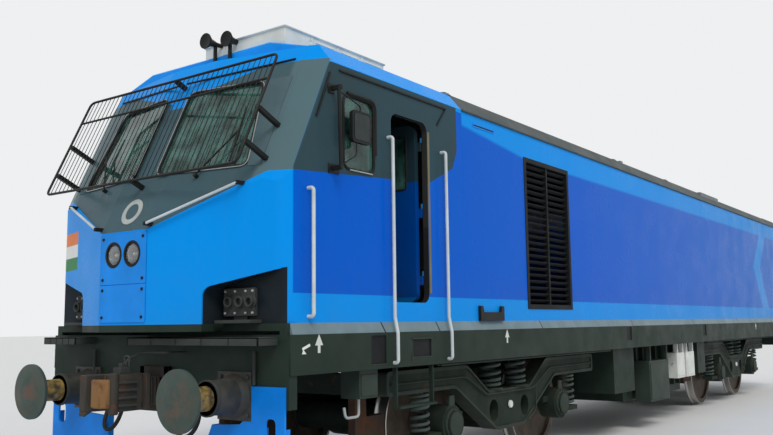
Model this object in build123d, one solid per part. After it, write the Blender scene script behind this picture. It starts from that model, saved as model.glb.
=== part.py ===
from build123d import *
import math
import os

# One section of a two-section broad-gauge freight locomotive: a car body with one cab,
# on two two-axle bogies, with a single-arm pantograph in a well of the roof.
#
# Millimetres. X is the station, counted backwards from the front buffer faces, Y is
# across with the driver's side at minus Y, and Z is the height over the rail. The export
# at the end moves the origin to the middle of the length, at the flange tips.

# Whole vehicle
LENGTH = 19200            # front buffer faces to the plane where the two sections meet
BODY_WIDTH = 3040         # over the side panels
SILL_WIDTH = 3100         # over the side sills
FLOOR_Z = 1660            # top of the floor and bottom of the side panels
EAVE_Z = 3880             # top of the side panels
ROOF_Z = 4060             # outer edge of the flat roof
CREST_Z = 4085            # roof on the centre line
ROOF_HALF = 1370          # half width of the flat roof
WALL = 60                 # side, nose and end walls
ROOF_PLATE = 45
FIT = 0.3                 # between curved faces that seat on each other
PLAY = 6                  # between a moving piece and what it passes

# Running gear
WHEEL_BACKS = 1600        # between the wheels' inner faces
WHEEL_RADIUS = 625
FLANGE_HEIGHT = 30
WHEEL_WIDTH = 140
AXLE_RADIUS = 95
JOURNAL_RADIUS = 80
AXLE_LENGTH = 2640
WHEELBASE = 2600
BOGIE_STATIONS = (4600, 14600)
BOGIE_LENGTH = 4800
FRAME_INNER = 1120        # inner face of a bogie's side frame
FRAME_OUTER = 1310        # outer face
BEAM_BOTTOM = 970         # side frame over the axleboxes
BEAM_TOP = 1200
DROP_BOTTOM = 455         # side frame between the axles
DROP_TOP = 900
TRANSOM_HALF = 280        # half length of the middle cross beam
PIVOT_RADIUS = 110
PIVOT_BOTTOM = 700

# Underframe
SILL_BOTTOM = 1255
LEDGE_BOTTOM = 1570       # the sloping ledge runs from the side panel out to the sill
SILL_THICK = 100
DECK_THICK = 60
CROSS_BOTTOM = 1400       # cross members and bolsters
HEADSTOCK_X = 620         # front face of the beam that carries the buffers
HEADSTOCK_THICK = 90
REAR_WALL_X = 18900       # outer face of the rear wall

# Cab
NOSE_X = 235              # middle panel of the nose
NOSE_HALF = 312
NOSE_SWEEP = 0.341        # the nose panels fall back this much for each unit sideways
BELT_Z = 2450             # the crease over the middle panel
RAKE = 0.463              # the windscreen leans back this much for each unit up
RAKE_SWEEP = 0.17
FACET_Y = 1290            # corner facet between windscreen and side
FACET_SWEEP = 0.45
NOSE_CORNER = 190         # radius of the nose's lower corners
CAB_END_X = 3300          # joint between cab shell and side panels
BULKHEAD_X = 3200

# Door, side window, windscreens
DOOR_X = (2025, 2628)
DOOR_Z = (1839, 3600)
DOOR_CORNER = 90
DOOR_GAP = 5
HINGE_INSET = 24          # hinge axis inside the wall
HINGE_BEHIND = 14         # hinge axis behind the opening
HINGE_PIN = 8
HINGE_BARREL = 14
HINGE_EAR = 40
HINGE_TALL = 90
HINGE_MARGIN = 220        # from a door's end to its hinge
SIDE_WINDOW_X = (1330, 1750)
SIDE_WINDOW_Z = (2980, 3620)
WINDSCREEN_Y = (165, 1215)
WINDSCREEN_Z = (2950, 3745)
GLASS = 14

# Buffers and coupler
BUFFER_HALF = 978
BUFFER_Z = 1090
BUFFER_RADIUS = 239
BUFFER_FLAT = 120         # flat middle of the buffer's face
COUPLER_Z = 1105
DRAWBAR_Z = 1000


def block(x0, x1, y0, y1, z0, z1):
    """A block between two stations, two sides and two heights."""
    return Pos((x0 + x1) / 2, (y0 + y1) / 2, (z0 + z1) / 2) * Box(x1 - x0, y1 - y0, z1 - z0)


def bar_across(x, z, radius, y0, y1):
    """A round bar that lies across the vehicle."""
    return Pos(x, (y0 + y1) / 2, z) * Rot(90, 0, 0) * Cylinder(radius, abs(y1 - y0))


def bar_along(x0, x1, y, z, radius):
    """A round bar that lies along the vehicle."""
    return Pos((x0 + x1) / 2, y, z) * Rot(0, 90, 0) * Cylinder(radius, x1 - x0)


def bar_up(x, y, z0, z1, radius):
    """A round bar that stands up."""
    return Pos(x, y, (z0 + z1) / 2) * Cylinder(radius, z1 - z0)


def side_plate(points, y0, y1):
    """A plate with an outline of (x, z) points, from one side plane to another."""
    face = make_face(Plane.XZ.offset(-y1) * Polyline(*points, close=True))
    return extrude(face, amount=y1 - y0, dir=(0, -1, 0))


def section(points, x0, x1):
    """A bar with a cross section of (y, z) points, from one station to another."""
    face = make_face(Plane.YZ.offset(x0) * Polyline(*points, close=True))
    return extrude(face, amount=x1 - x0, dir=(1, 0, 0))


def plan_plate(points, z0, z1):
    """A plate with an outline of (x, y) points seen from above, between two heights."""
    face = make_face(Plane.XY.offset(z0) * Polyline(*points, close=True))
    return extrude(face, amount=z1 - z0, dir=(0, 0, 1))


def ring_solid(points, x, y, z):
    """A turned piece about an upright axis, from (radius, height) points."""
    face = make_face(Plane.XZ * Polyline(*points, close=True))
    return Pos(x, y, z) * revolve(face, Axis.Z)


def turned_across(points, x, z):
    """A turned piece about an axis across the vehicle, from (radius, y) points."""
    face = make_face(Polyline(*points, close=True))
    return Pos(x, 0, z) * revolve(face, Axis.Y)


def turned_along(points, y, z):
    """A turned piece about an axis along the vehicle, from (x, radius) points."""
    face = make_face(Plane.XZ * Polyline(*points, close=True))
    return Pos(0, y, z) * revolve(face, Axis.X)


def rod(points, radius, bend):
    """A round rod along a path of straight runs with equal bends."""
    path = FilletPolyline(*points, radius=bend) if len(points) > 2 else Line(*points)
    return sweep(Plane(path @ 0, z_dir=path % 0) * Circle(radius), path=path)


def mirrored(shape):
    """The same piece on the other side of the vehicle."""
    return shape.mirror(Plane.XZ)


def both_sides(shape):
    """A piece and its mirror image, as two solids of one node."""
    return [shape, mirrored(shape)]


def joined(shapes):
    """Touching shapes welded into one solid."""
    first, *rest = shapes
    return first.fuse(*rest) if rest else first


# The nose's planes: each is a point and an outward direction. Side is 1 or -1.
def swept_plane(side):
    return (NOSE_X, side * NOSE_HALF, 0), (-1, side * NOSE_SWEEP, 0)


def raked_plane(side):
    return (NOSE_X, side * NOSE_HALF, BELT_Z), (-1, side * RAKE_SWEEP, RAKE)


def raked_x(y, z):
    """Station of the windscreen plane at a side distance and a height."""
    return NOSE_X + RAKE * (z - BELT_Z) + RAKE_SWEEP * (abs(y) - NOSE_HALF)


def nose_x(y):
    """Station of the upright nose panels at a side distance."""
    return NOSE_X + NOSE_SWEEP * max(abs(y) - NOSE_HALF, 0)


def facet_plane(side):
    point = (raked_x(FACET_Y, BELT_Z), side * FACET_Y, BELT_Z)
    return point, (-1, side * FACET_SWEEP, RAKE)


def cab_planes():
    """Every plane that bounds the cab, with its outward direction."""
    planes = [((NOSE_X, 0, 0), (-1, 0, 0)), ((NOSE_X, 0, BELT_Z), (-1, 0, RAKE))]
    for side in (1, -1):
        planes.append(swept_plane(side))
        planes.append(raked_plane(side))
        planes.append(facet_plane(side))
        planes.append(((0, side * BODY_WIDTH / 2, 0), (0, side, 0)))
        chamfer = (0, side * (ROOF_Z - EAVE_Z), BODY_WIDTH / 2 - ROOF_HALF)
        planes.append(((0, side * BODY_WIDTH / 2, EAVE_Z), chamfer))
        crown = (0, side * (CREST_Z - ROOF_Z), ROOF_HALF)
        planes.append(((0, 0, CREST_Z), crown))
    return planes


def cab_form(inset, corner):
    """The cab's outer form, or the room inside it, with round lower corners."""
    reach = 4 * BODY_WIDTH
    form = block(0, CAB_END_X + inset, -BODY_WIDTH, BODY_WIDTH, FLOOR_Z - inset, CREST_Z + WALL)
    for point, direction in cab_planes():
        plane = Plane(origin=point, z_dir=direction)
        outside = Box(reach, reach, reach, align=(Align.CENTER, Align.CENTER, Align.MIN))
        form -= plane.offset(-inset) * outside
    upright = [
        edge for edge in form.edges().filter_by(Axis.Z)
        if edge.center().X < nose_x(BODY_WIDTH / 2) + WALL
        and abs(edge.center().Y) > BODY_WIDTH / 2 - inset - 1
    ]
    return fillet(upright, corner)


def rounded_opening(x_range, z_range, corner):
    """A rounded rectangle seen from the side, as a long block through both walls."""
    wide = x_range[1] - x_range[0]
    tall = z_range[1] - z_range[0]
    face = RectangleRounded(wide, tall, corner)
    middle = ((x_range[0] + x_range[1]) / 2, BODY_WIDTH, (z_range[0] + z_range[1]) / 2)
    place = Plane(origin=middle, x_dir=(1, 0, 0), z_dir=(0, -1, 0))
    return extrude(place * face, amount=2 * BODY_WIDTH)


def screen_plane(side):
    """The windscreen plane, with its local X towards minus Y and its local Y up."""
    point, direction = raked_plane(side)
    return Plane(origin=point, x_dir=(-side * RAKE_SWEEP, -1, 0), z_dir=direction)


def on_screen(side, y, z):
    """Where a side distance and a height lie on the windscreen plane."""
    local = screen_plane(side).to_local_coords(Vector(raked_x(y, z), side * y, z))
    return local.X, local.Y


def screen_face(side, y_range, z_range, corner):
    """A rounded four-sided face on the windscreen plane, in its local place."""
    corners = [
        on_screen(side, y, z)
        for y, z in (
            (y_range[0], z_range[0]), (y_range[1], z_range[0]),
            (y_range[1], z_range[1]), (y_range[0], z_range[1]),
        )
    ]
    face = make_face(Polyline(*corners, close=True))
    return fillet(face.vertices(), corner)


WINDSCREEN_CORNER = 70
RECESS_INNER = 800        # the nose's lower corners are cut away outside this
RECESS_RADIUS = 90
RECESS_TOP = 1950         # at the inner end
RECESS_RISE = 0.21        # the recess climbs towards the side


def corner_recess(grow):
    """The space in the nose's lower corner on the minus Y side, grown by a liner."""
    outer = BODY_WIDTH
    inner = RECESS_INNER - grow
    top = RECESS_TOP + grow
    points = [
        (-inner, FLOOR_Z - WALL), (-inner, top), (-outer, top + RECESS_RISE * (outer - inner)),
        (-outer, FLOOR_Z - WALL),
    ]
    face = make_face(Plane.YZ * Polyline(*points, close=True))
    inner_top = face.vertices().sort_by(Axis.Y)[-2:].sort_by(Axis.Z)[-1]
    face = fillet(inner_top, RECESS_RADIUS + grow)
    return extrude(face, amount=RECESS_BACK + grow, dir=(1, 0, 0))


RECESS_LINER = 25         # sheet that closes the recess towards the cab
RECESS_BACK = 640         # rear wall of the recess


def cab_shell():
    """Nose, windscreen frame, sides and roof of the cab, as one hollow moulding."""
    shell = cab_form(0, NOSE_CORNER) - cab_form(WALL, NOSE_CORNER - WALL)
    shell -= rounded_opening(DOOR_X, DOOR_Z, DOOR_CORNER)
    shell -= rounded_opening(SIDE_WINDOW_X, SIDE_WINDOW_Z, SIDE_WINDOW_CORNER)
    for side in (1, -1):
        face = screen_face(side, WINDSCREEN_Y, WINDSCREEN_Z, WINDSCREEN_CORNER)
        shell -= extrude(screen_plane(side) * face, amount=3 * WALL, both=True)
    recess = corner_recess(0)
    liner = (corner_recess(RECESS_LINER) - recess) & cab_form(0, NOSE_CORNER)
    shell = (shell - recess - mirrored(recess)).fuse(liner, mirrored(liner))
    hatch = block(0, NOSE_X + 2 * WALL, -NOSE_HALF, NOSE_HALF, HATCH_Z[0], HATCH_Z[1])
    shell -= hatch
    pins = [LEFT_WALL * pin for pin in hinge_pins(DOOR_X, DOOR_Z)]
    return shell.fuse(*pins, *[mirrored(pin) for pin in pins])


SIDE_WINDOW_CORNER = 80
HATCH_Z = (1700, 2400)    # the middle panel that opens to the couplings behind


# A door is modelled in a wall whose outer face is the plane Y = 0 and whose room is at
# plus Y. It is hinged at the end of its opening with the larger X and swings inward.
def hinge_axis(opening):
    """The hinge's X and Y for an opening."""
    return opening[1] + HINGE_BEHIND, WALL + HINGE_INSET


def hinge_heights(heights):
    """Three hinges: near the bottom, in the middle and near the top."""
    low, high = heights[0] + HINGE_MARGIN, heights[1] - HINGE_MARGIN
    return low, (low + high) / 2, high


def hinge_pins(opening, heights):
    """The pins that a door turns on, each on a bracket at the jamb."""
    x, y = hinge_axis(opening)
    pieces = []
    for z in hinge_heights(heights):
        low = z + HINGE_TALL / 2 + FIT
        high = z + HINGE_TALL
        pin = bar_up(x, y, z - HINGE_TALL / 2, high, HINGE_PIN)
        barrel = bar_up(x, y, low, high, HINGE_BARREL)
        arm = block(x, x + 3 * HINGE_BARREL, y - HINGE_BARREL, y + HINGE_BARREL, low, high)
        foot = block(x + HINGE_BARREL, x + 3 * HINGE_BARREL, WALL - 1, y, low, high)
        pieces.append(joined([pin, barrel, arm, foot]))
    return pieces


def door_leaf(opening, heights, corner, window, window_heights):
    """A door with its window's hole and its hinge barrels, closed."""
    span = (opening[0] + DOOR_GAP, opening[1] - DOOR_GAP)
    tall = (heights[0] + DOOR_GAP, heights[1] - DOOR_GAP)
    leaf = rounded_panel(span, tall, corner - DOOR_GAP)
    leaf -= rounded_panel(window, window_heights, corner / 2)
    x, y = hinge_axis(opening)
    for z in hinge_heights(heights):
        low, high = z - HINGE_TALL / 2, z + HINGE_TALL / 2
        root = block(span[1] - HINGE_EAR, span[1], WALL, y + HINGE_BARREL, low, high)
        ear = block(span[1] - HINGE_EAR, x, y - HINGE_BARREL, y + HINGE_BARREL, low, high)
        leaf = leaf.fuse(root, ear, bar_up(x, y, low, high, HINGE_BARREL))
        leaf -= bar_up(x, y, low - HINGE_TALL, high + HINGE_TALL, HINGE_PIN + FIT)
    return leaf


def rounded_panel(x_range, z_range, corner):
    """A rounded rectangle as thick as the wall, with its outer face at Y = 0."""
    middle = ((x_range[0] + x_range[1]) / 2, 0, (z_range[0] + z_range[1]) / 2)
    face = RectangleRounded(x_range[1] - x_range[0], z_range[1] - z_range[0], corner)
    place = Plane(origin=middle, x_dir=(1, 0, 0), z_dir=(0, -1, 0))
    return extrude(place * face, amount=-WALL)


def swung(leaf, opening, angle):
    """A door leaf turned inward about its hinge."""
    x, y = hinge_axis(opening)
    return leaf.rotate(Axis((x, y, 0), (0, 0, 1)), -angle)


LEFT_WALL = Pos(0, -BODY_WIDTH / 2, 0)
REAR_WALL = Pos(REAR_WALL_X, 0, 0) * Rot(0, 0, 90)
END_DOOR_Y = (-330, 330)
END_DOOR_Z = (1700, 3560)
END_DOOR_WINDOW_Y = (-160, 160)
END_DOOR_WINDOW_Z = (2850, 3350)
DOOR_WINDOW_X = (2130, 2525)
DOOR_WINDOW_Z = (2960, 3480)
DOOR_REST_ANGLE = 88      # the driver's side door stands open


def cab_door(angle):
    """The cab door on the minus Y side."""
    leaf = door_leaf(DOOR_X, DOOR_Z, DOOR_CORNER, DOOR_WINDOW_X, DOOR_WINDOW_Z)
    return LEFT_WALL * swung(leaf, DOOR_X, angle)


def end_door():
    """The gangway door in the rear wall, closed."""
    return REAR_WALL * door_leaf(
        END_DOOR_Y, END_DOOR_Z, DOOR_CORNER, END_DOOR_WINDOW_Y, END_DOOR_WINDOW_Z,
    )


def underframe():
    """Side sills, end beams, cross members, bolsters with pivots, and the deck."""
    sill_out = SILL_WIDTH / 2
    sill_in = sill_out - SILL_THICK
    deck_bottom = FLOOR_Z - DECK_THICK
    rear = REAR_WALL_X
    pieces = [block(HEADSTOCK_X, rear, -sill_in, sill_in, deck_bottom, FLOOR_Z)]
    for side in (1, -1):
        low, high = sorted((side * sill_in, side * sill_out))
        pieces.append(block(HEADSTOCK_X, rear, low, high, SILL_BOTTOM, LEDGE_BOTTOM))
        low, high = sorted((side * sill_in, side * (BODY_WIDTH / 2)))
        pieces.append(block(HEADSTOCK_X, rear, low, high, LEDGE_BOTTOM, FLOOR_Z))
    for x in (HEADSTOCK_X, rear - HEADSTOCK_THICK):
        pieces.append(block(x, x + HEADSTOCK_THICK, -sill_out, sill_out, HEADSTOCK_BOTTOM, LEDGE_BOTTOM))
    for station in BOGIE_STATIONS:
        pieces.append(block(
            station - BOLSTER_HALF, station + BOLSTER_HALF, -sill_in, sill_in,
            CROSS_BOTTOM, deck_bottom,
        ))
        pieces.append(bar_up(station, 0, PIVOT_BOTTOM, CROSS_BOTTOM, PIVOT_RADIUS))
    for x in CROSS_STATIONS:
        pieces.append(block(x - 60, x + 60, -sill_in, sill_in, CROSS_BOTTOM, deck_bottom))
    # the nose floor, from the headstock forward to the middle panel
    nose_floor = block(0, HEADSTOCK_X, -RECESS_INNER, RECESS_INNER, deck_bottom, FLOOR_Z)
    front = cab_form(0, NOSE_CORNER)
    span = block(0, HEADSTOCK_X, -BODY_WIDTH, BODY_WIDTH, FLOOR_Z, FLOOR_Z + DECK_THICK)
    pieces.append(nose_floor & Pos(0, 0, -DECK_THICK) * (front & span))
    return joined(pieces)


HEADSTOCK_BOTTOM = 1000
BOLSTER_HALF = 520
CROSS_STATIONS = (1500, 2600, 6900, 7850, 10000, 11400, 12400, 17000, 18000)


def sill_ledge():
    """The sloping ledge between side panel and sill, on the minus Y side."""
    body = BODY_WIDTH / 2
    sill = SILL_WIDTH / 2
    points = [(-body, FLOOR_Z), (-body, LEDGE_BOTTOM), (-sill, LEDGE_BOTTOM)]
    return section(points, HEADSTOCK_X + LEDGE_START, REAR_WALL_X)


LEDGE_START = 40
GRILLE_X = (4712, 5927)
GRILLE_Z = (1806, 3577)


def body_side():
    """The machine room's side panel on the minus Y side, with its grille opening."""
    body = BODY_WIDTH / 2
    panel = block(CAB_END_X, REAR_WALL_X - WALL, -body, -body + WALL, FLOOR_Z, EAVE_Z)
    opening = block(GRILLE_X[0], GRILLE_X[1], -body, -body + WALL, GRILLE_Z[0], GRILLE_Z[1])
    return panel - opening


def side_grille():
    """The black louvred grille in the side panel: frame and slats."""
    body = BODY_WIDTH / 2
    x0, x1 = GRILLE_X
    z0, z1 = GRILLE_Z
    frame = block(x0, x1, -body, -body + WALL, z0, z1)
    frame -= block(
        x0 + GRILLE_FRAME, x1 - GRILLE_FRAME, -body, -body + WALL, z0 + GRILLE_FRAME, z1 - GRILLE_FRAME,
    )
    pieces = [frame]
    middle = (x0 + x1) / 2
    pieces.append(block(middle - 15, middle + 15, -body + 5, -body + WALL, z0, z1))
    tall = z1 - z0 - 2 * GRILLE_FRAME
    pitch = tall / GRILLE_SLATS
    for row in range(GRILLE_SLATS):
        z = z0 + GRILLE_FRAME + pitch * (row + 0.5)
        slat = Pos(middle, -body + WALL / 2, z) * Rot(-35, 0, 0) * Box(x1 - x0 - GRILLE_FRAME, WALL * 0.8, 6)
        pieces.append(slat)
    return joined(pieces)


GRILLE_FRAME = 45
GRILLE_SLATS = 22


def rear_wall():
    """End wall towards the other section, with the gangway door's opening."""
    body = BODY_WIDTH / 2
    points = [
        (-body, FLOOR_Z), (body, FLOOR_Z), (body, EAVE_Z), (ROOF_HALF, ROOF_Z),
        (0, CREST_Z), (-ROOF_HALF, ROOF_Z), (-body, EAVE_Z),
    ]
    wall = section(points, REAR_WALL_X - WALL, REAR_WALL_X)
    wall -= REAR_WALL * rounded_panel(END_DOOR_Y, END_DOOR_Z, DOOR_CORNER)
    return wall.fuse(*[REAR_WALL * pin for pin in hinge_pins(END_DOOR_Y, END_DOOR_Z)])


def cab_bulkhead():
    """Wall between the cab and the machine room."""
    room = cab_form(WALL, NOSE_CORNER - WALL)
    return room & block(BULKHEAD_X, BULKHEAD_X + WALL, -BODY_WIDTH, BODY_WIDTH, FLOOR_Z, CREST_Z)


def roof_outline(drop):
    """The roof's cross section, lowered by a plate's thickness."""
    body = BODY_WIDTH / 2 - drop
    flat = ROOF_HALF - drop / 2
    return [
        (-body, EAVE_Z), (-flat, ROOF_Z - drop), (0, CREST_Z - drop), (flat, ROOF_Z - drop), (body, EAVE_Z),
    ]


def roof_hatch(x0, x1):
    """A high stretch of the roof, as a folded plate."""
    return section(roof_outline(0), x0, x1) - section(roof_outline(ROOF_PLATE), x0, x1)


def roof_well(x0, x1):
    """The low stretch of the roof between two side fairings, for the pantograph."""
    body = BODY_WIDTH / 2
    points = [
        (-body, EAVE_Z), (-ROOF_HALF, ROOF_Z), (-ROOF_HALF + ROOF_PLATE, ROOF_Z),
        (-ROOF_HALF + ROOF_PLATE, WELL_Z), (ROOF_HALF - ROOF_PLATE, WELL_Z),
        (ROOF_HALF - ROOF_PLATE, ROOF_Z), (ROOF_HALF, ROOF_Z), (body, EAVE_Z),
        (body - ROOF_PLATE, EAVE_Z), (ROOF_HALF - ROOF_PLATE / 2, EAVE_Z),
        (ROOF_HALF - ROOF_PLATE / 2, WELL_Z - ROOF_PLATE),
        (-ROOF_HALF + ROOF_PLATE / 2, WELL_Z - ROOF_PLATE),
        (-ROOF_HALF + ROOF_PLATE / 2, EAVE_Z), (-body + ROOF_PLATE, EAVE_Z),
    ]
    return section(points, x0, x1)


ROOF_JOINTS = (3300, 8100, 12900, 17700, 18840)
WELL_BAY = 2              # which stretch between the joints is the well
WELL_Z = 3700
SEAM = 4


def roof_sections():
    """The roof's stretches, with a seam between neighbours."""
    pieces = []
    for bay, (x0, x1) in enumerate(zip(ROOF_JOINTS, ROOF_JOINTS[1:])):
        make = roof_well if bay == WELL_BAY else roof_hatch
        pieces.append(make(x0 + SEAM / 2, x1 - SEAM / 2))
    return pieces


def nose_panel():
    """The middle panel in the nose, with the headlamps' holes and a rear flange."""
    panel = block(
        NOSE_X, NOSE_X + WALL, -NOSE_HALF + PANEL_GAP, NOSE_HALF - PANEL_GAP,
        HATCH_Z[0] + PANEL_GAP, HATCH_Z[1] - PANEL_GAP,
    )
    flange = block(
        NOSE_X + WALL, NOSE_X + WALL + 8, -NOSE_HALF + 30, NOSE_HALF - 30, HATCH_Z[0] - 30, HATCH_Z[1] + 20,
    )
    panel = panel.fuse(flange)
    panel -= block(
        NOSE_X + 20, NOSE_X + WALL + 20, -NOSE_HALF + 60, NOSE_HALF - 60, HATCH_Z[0] + 60, HATCH_Z[1] - 60,
    )
    for side in (1, -1):
        panel -= bar_along(NOSE_X - WALL, NOSE_X + 2 * WALL, side * LAMP_HALF, LAMP_Z, LAMP_RADIUS)
    return panel


PANEL_GAP = 3
LAMP_HALF = 125
LAMP_Z = 2255
LAMP_RADIUS = 96


def headlamp(side):
    """A round lamp with a domed glass, in the middle panel."""
    points = [
        (NOSE_X - 12, 0), (NOSE_X - 8, LAMP_RADIUS * 0.6), (NOSE_X, LAMP_RADIUS - FIT),
        (NOSE_X + 60, LAMP_RADIUS - FIT), (NOSE_X + 60, 0),
    ]
    return turned_along(points, side * LAMP_HALF, LAMP_Z)


def windscreen(side):
    """A flat pane in its opening, with a rubber's width around it."""
    y_range = (WINDSCREEN_Y[0] + FIT, WINDSCREEN_Y[1] - FIT)
    z_range = (WINDSCREEN_Z[0] + FIT, WINDSCREEN_Z[1] - FIT)
    face = screen_face(side, y_range, z_range, WINDSCREEN_CORNER)
    outer = screen_plane(side).offset(-GLASS)
    return extrude(outer * face, amount=GLASS, dir=-outer.z_dir)


def side_window():
    """The cab's side pane on the minus Y side."""
    x_range = (SIDE_WINDOW_X[0] + FIT, SIDE_WINDOW_X[1] - FIT)
    z_range = (SIDE_WINDOW_Z[0] + FIT, SIDE_WINDOW_Z[1] - FIT)
    pane = rounded_opening(x_range, z_range, SIDE_WINDOW_CORNER - FIT)
    outer = -BODY_WIDTH / 2 + GLASS
    return pane & block(x_range[0], x_range[1], outer, outer + GLASS, z_range[0], z_range[1])


def buffer(side):
    """A side buffer: head, plunger, casing and base plate on the headstock."""
    casing = HEADSTOCK_X - 24
    points = [
        (0, 0), (0, BUFFER_FLAT), (18, BUFFER_RADIUS), (44, BUFFER_RADIUS), (62, 95),
        (300, 95), (300, 130), (casing - 60, 145), (casing, 175), (casing, 0),
    ]
    base = block(
        casing, HEADSTOCK_X, side * BUFFER_HALF - 190, side * BUFFER_HALF + 190,
        BUFFER_Z - 190, BUFFER_Z + 190,
    )
    return turned_along(points, side * BUFFER_HALF, BUFFER_Z).fuse(base)


def coupler():
    """Coupler head with its guard arm, and the shank that runs into the headstock."""
    shank = block(COUPLER_X + 250, HEADSTOCK_X, -75, 75, COUPLER_Z - 90, COUPLER_Z + 90)
    outline = [
        (COUPLER_X + 330, -90), (COUPLER_X + 250, -185), (COUPLER_X + 130, -215),
        (COUPLER_X + 20, -215), (COUPLER_X + 20, -150), (COUPLER_X + 130, -120),
        (COUPLER_X + 130, 60), (COUPLER_X + 30, 160), (COUPLER_X, 215),
        (COUPLER_X + 90, 240), (COUPLER_X + 250, 180), (COUPLER_X + 330, 90),
    ]
    return plan_plate(outline, COUPLER_Z - 165, COUPLER_Z + 165).fuse(shank)


COUPLER_X = 10            # the coupler's pulling face


def knuckle():
    """The knuckle that closes the coupler's jaw."""
    outline = [
        (COUPLER_X + 15, -145), (COUPLER_X + 130 - FIT, -115), (COUPLER_X + 130 - FIT, -55),
        (COUPLER_X + 80, -40), (COUPLER_X + 70, 20), (COUPLER_X + 10, 30), (COUPLER_X - 5, -60),
    ]
    return plan_plate(outline, COUPLER_Z - 140, COUPLER_Z + 140)


def rail_guard():
    """The blue plough plate at the headstock, stepped down under buffers and coupler."""
    half = [
        (GUARD_HALF, GUARD_EAR_TOP), (GUARD_EAR, GUARD_EAR_TOP), (GUARD_EAR, GUARD_TOP),
        (GUARD_NOTCH, GUARD_TOP), (GUARD_NOTCH - 100, GUARD_MIDDLE),
    ]
    foot = [(GUARD_HALF - 90, GUARD_BOTTOM), (GUARD_HALF, GUARD_BOTTOM + 120)]
    points = foot + half + [(-y, z) for y, z in reversed(foot + half)]
    plate = section(points, HEADSTOCK_X - GUARD_THICK, HEADSTOCK_X)
    stay = [
        (HEADSTOCK_X, GUARD_BOTTOM + 60), (HEADSTOCK_X, HEADSTOCK_BOTTOM),
        (HEADSTOCK_X + HEADSTOCK_THICK, HEADSTOCK_BOTTOM), (HEADSTOCK_X + HEADSTOCK_THICK, HEADSTOCK_BOTTOM - 120),
    ]
    stays = [side_plate(stay, y - 12, y + 12) for y in (-1300, -800, 800, 1300)]
    return plate.fuse(*stays)


GUARD_HALF = 1520
GUARD_EAR = 1190          # the outer ears stand beside the buffers' base plates
GUARD_EAR_TOP = 1170
GUARD_TOP = 885
GUARD_BOTTOM = 170
GUARD_MIDDLE = 640
GUARD_NOTCH = 720
GUARD_THICK = 20


def axle_stations(station):
    """The stations of a bogie's two axles."""
    return station - WHEELBASE / 2, station + WHEELBASE / 2


def wheelset(x):
    """An axle with its two wheels, turned in one piece."""
    back = WHEEL_BACKS / 2
    front = back + WHEEL_WIDTH
    tread = WHEEL_RADIUS
    rim = tread - 90
    hub = AXLE_RADIUS + 65
    half = [
        (AXLE_RADIUS, back - 15), (hub, back - 15), (hub, back + 45), (rim, back + 55), (rim, back),
        (tread + FLANGE_HEIGHT - 10, back), (tread + FLANGE_HEIGHT, back + 10),
        (tread + FLANGE_HEIGHT, back + 18), (tread + 6, back + 33), (tread, back + 42),
        (tread - 5, front - 6), (tread - 11, front), (rim, front), (rim, back + 90),
        (hub, back + 80), (hub, front + 20), (JOURNAL_RADIUS, front + 20),
        (JOURNAL_RADIUS, AXLE_LENGTH / 2), (0, AXLE_LENGTH / 2),
    ]
    other = [(radius, -y) for radius, y in reversed(half)]
    return turned_across(half + other, x, WHEEL_RADIUS)


def side_frame(station):
    """A bogie's side frame: high over the axleboxes, dropped between the axles."""
    half = BOGIE_LENGTH / 2
    shoulder = WHEELBASE / 2 - 350
    outline = [
        (-half, BEAM_BOTTOM), (-half, BEAM_TOP), (-shoulder, BEAM_TOP), (-490, DROP_TOP),
        (490, DROP_TOP), (shoulder, BEAM_TOP), (half, BEAM_TOP), (half, BEAM_BOTTOM),
        (shoulder + 230, BEAM_BOTTOM), (320, DROP_BOTTOM), (-320, DROP_BOTTOM),
        (-shoulder - 230, BEAM_BOTTOM),
    ]
    points = [(station + x, z) for x, z in outline]
    frame = side_plate(points, -FRAME_OUTER, -FRAME_INNER)
    bends = [
        edge for edge in frame.edges().filter_by(Axis.Y)
        if abs(edge.center().X - station) < half - 1
    ]
    frame = fillet(bends, 60)
    for offset in (-385, 385):
        hole = Plane(origin=(station + offset, -FRAME_OUTER, 655), x_dir=(1, 0, 0), z_dir=(0, -1, 0))
        frame -= extrude(hole * SlotOverall(210, 110), amount=300, both=True)
    return frame


def bogie_frame(station):
    """Two side frames, the middle cross beam with the pivot's socket, and end beams."""
    frame = side_frame(station)
    pieces = [frame, mirrored(frame)]
    pieces.append(block(
        station - TRANSOM_HALF, station + TRANSOM_HALF, -FRAME_INNER, FRAME_INNER,
        TRANSOM_Z[0], TRANSOM_Z[1],
    ))
    for end in (-1, 1):
        x0, x1 = sorted((station + end * BOGIE_LENGTH / 2, station + end * (BOGIE_LENGTH / 2 - END_BEAM)))
        pieces.append(block(x0, x1, -FRAME_INNER, FRAME_INNER, BEAM_BOTTOM, BEAM_TOP - 30))
    socket = bar_up(station, 0, PIVOT_BOTTOM - 20, TRANSOM_Z[1] + 1, PIVOT_RADIUS + FIT)
    return joined(pieces) - socket


TRANSOM_Z = (560, 880)
END_BEAM = 170
BOX_RADIUS = 190
SPRING_OFFSET = 425       # from the axle out to the primary spring
SPRING_SEAT_Z = 560
PRIMARY_RADIUS = 105
SECONDARY_RADIUS = 130
SECONDARY_OFFSET = 300
SECONDARY_Y = (FRAME_INNER + FRAME_OUTER) / 2


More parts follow.
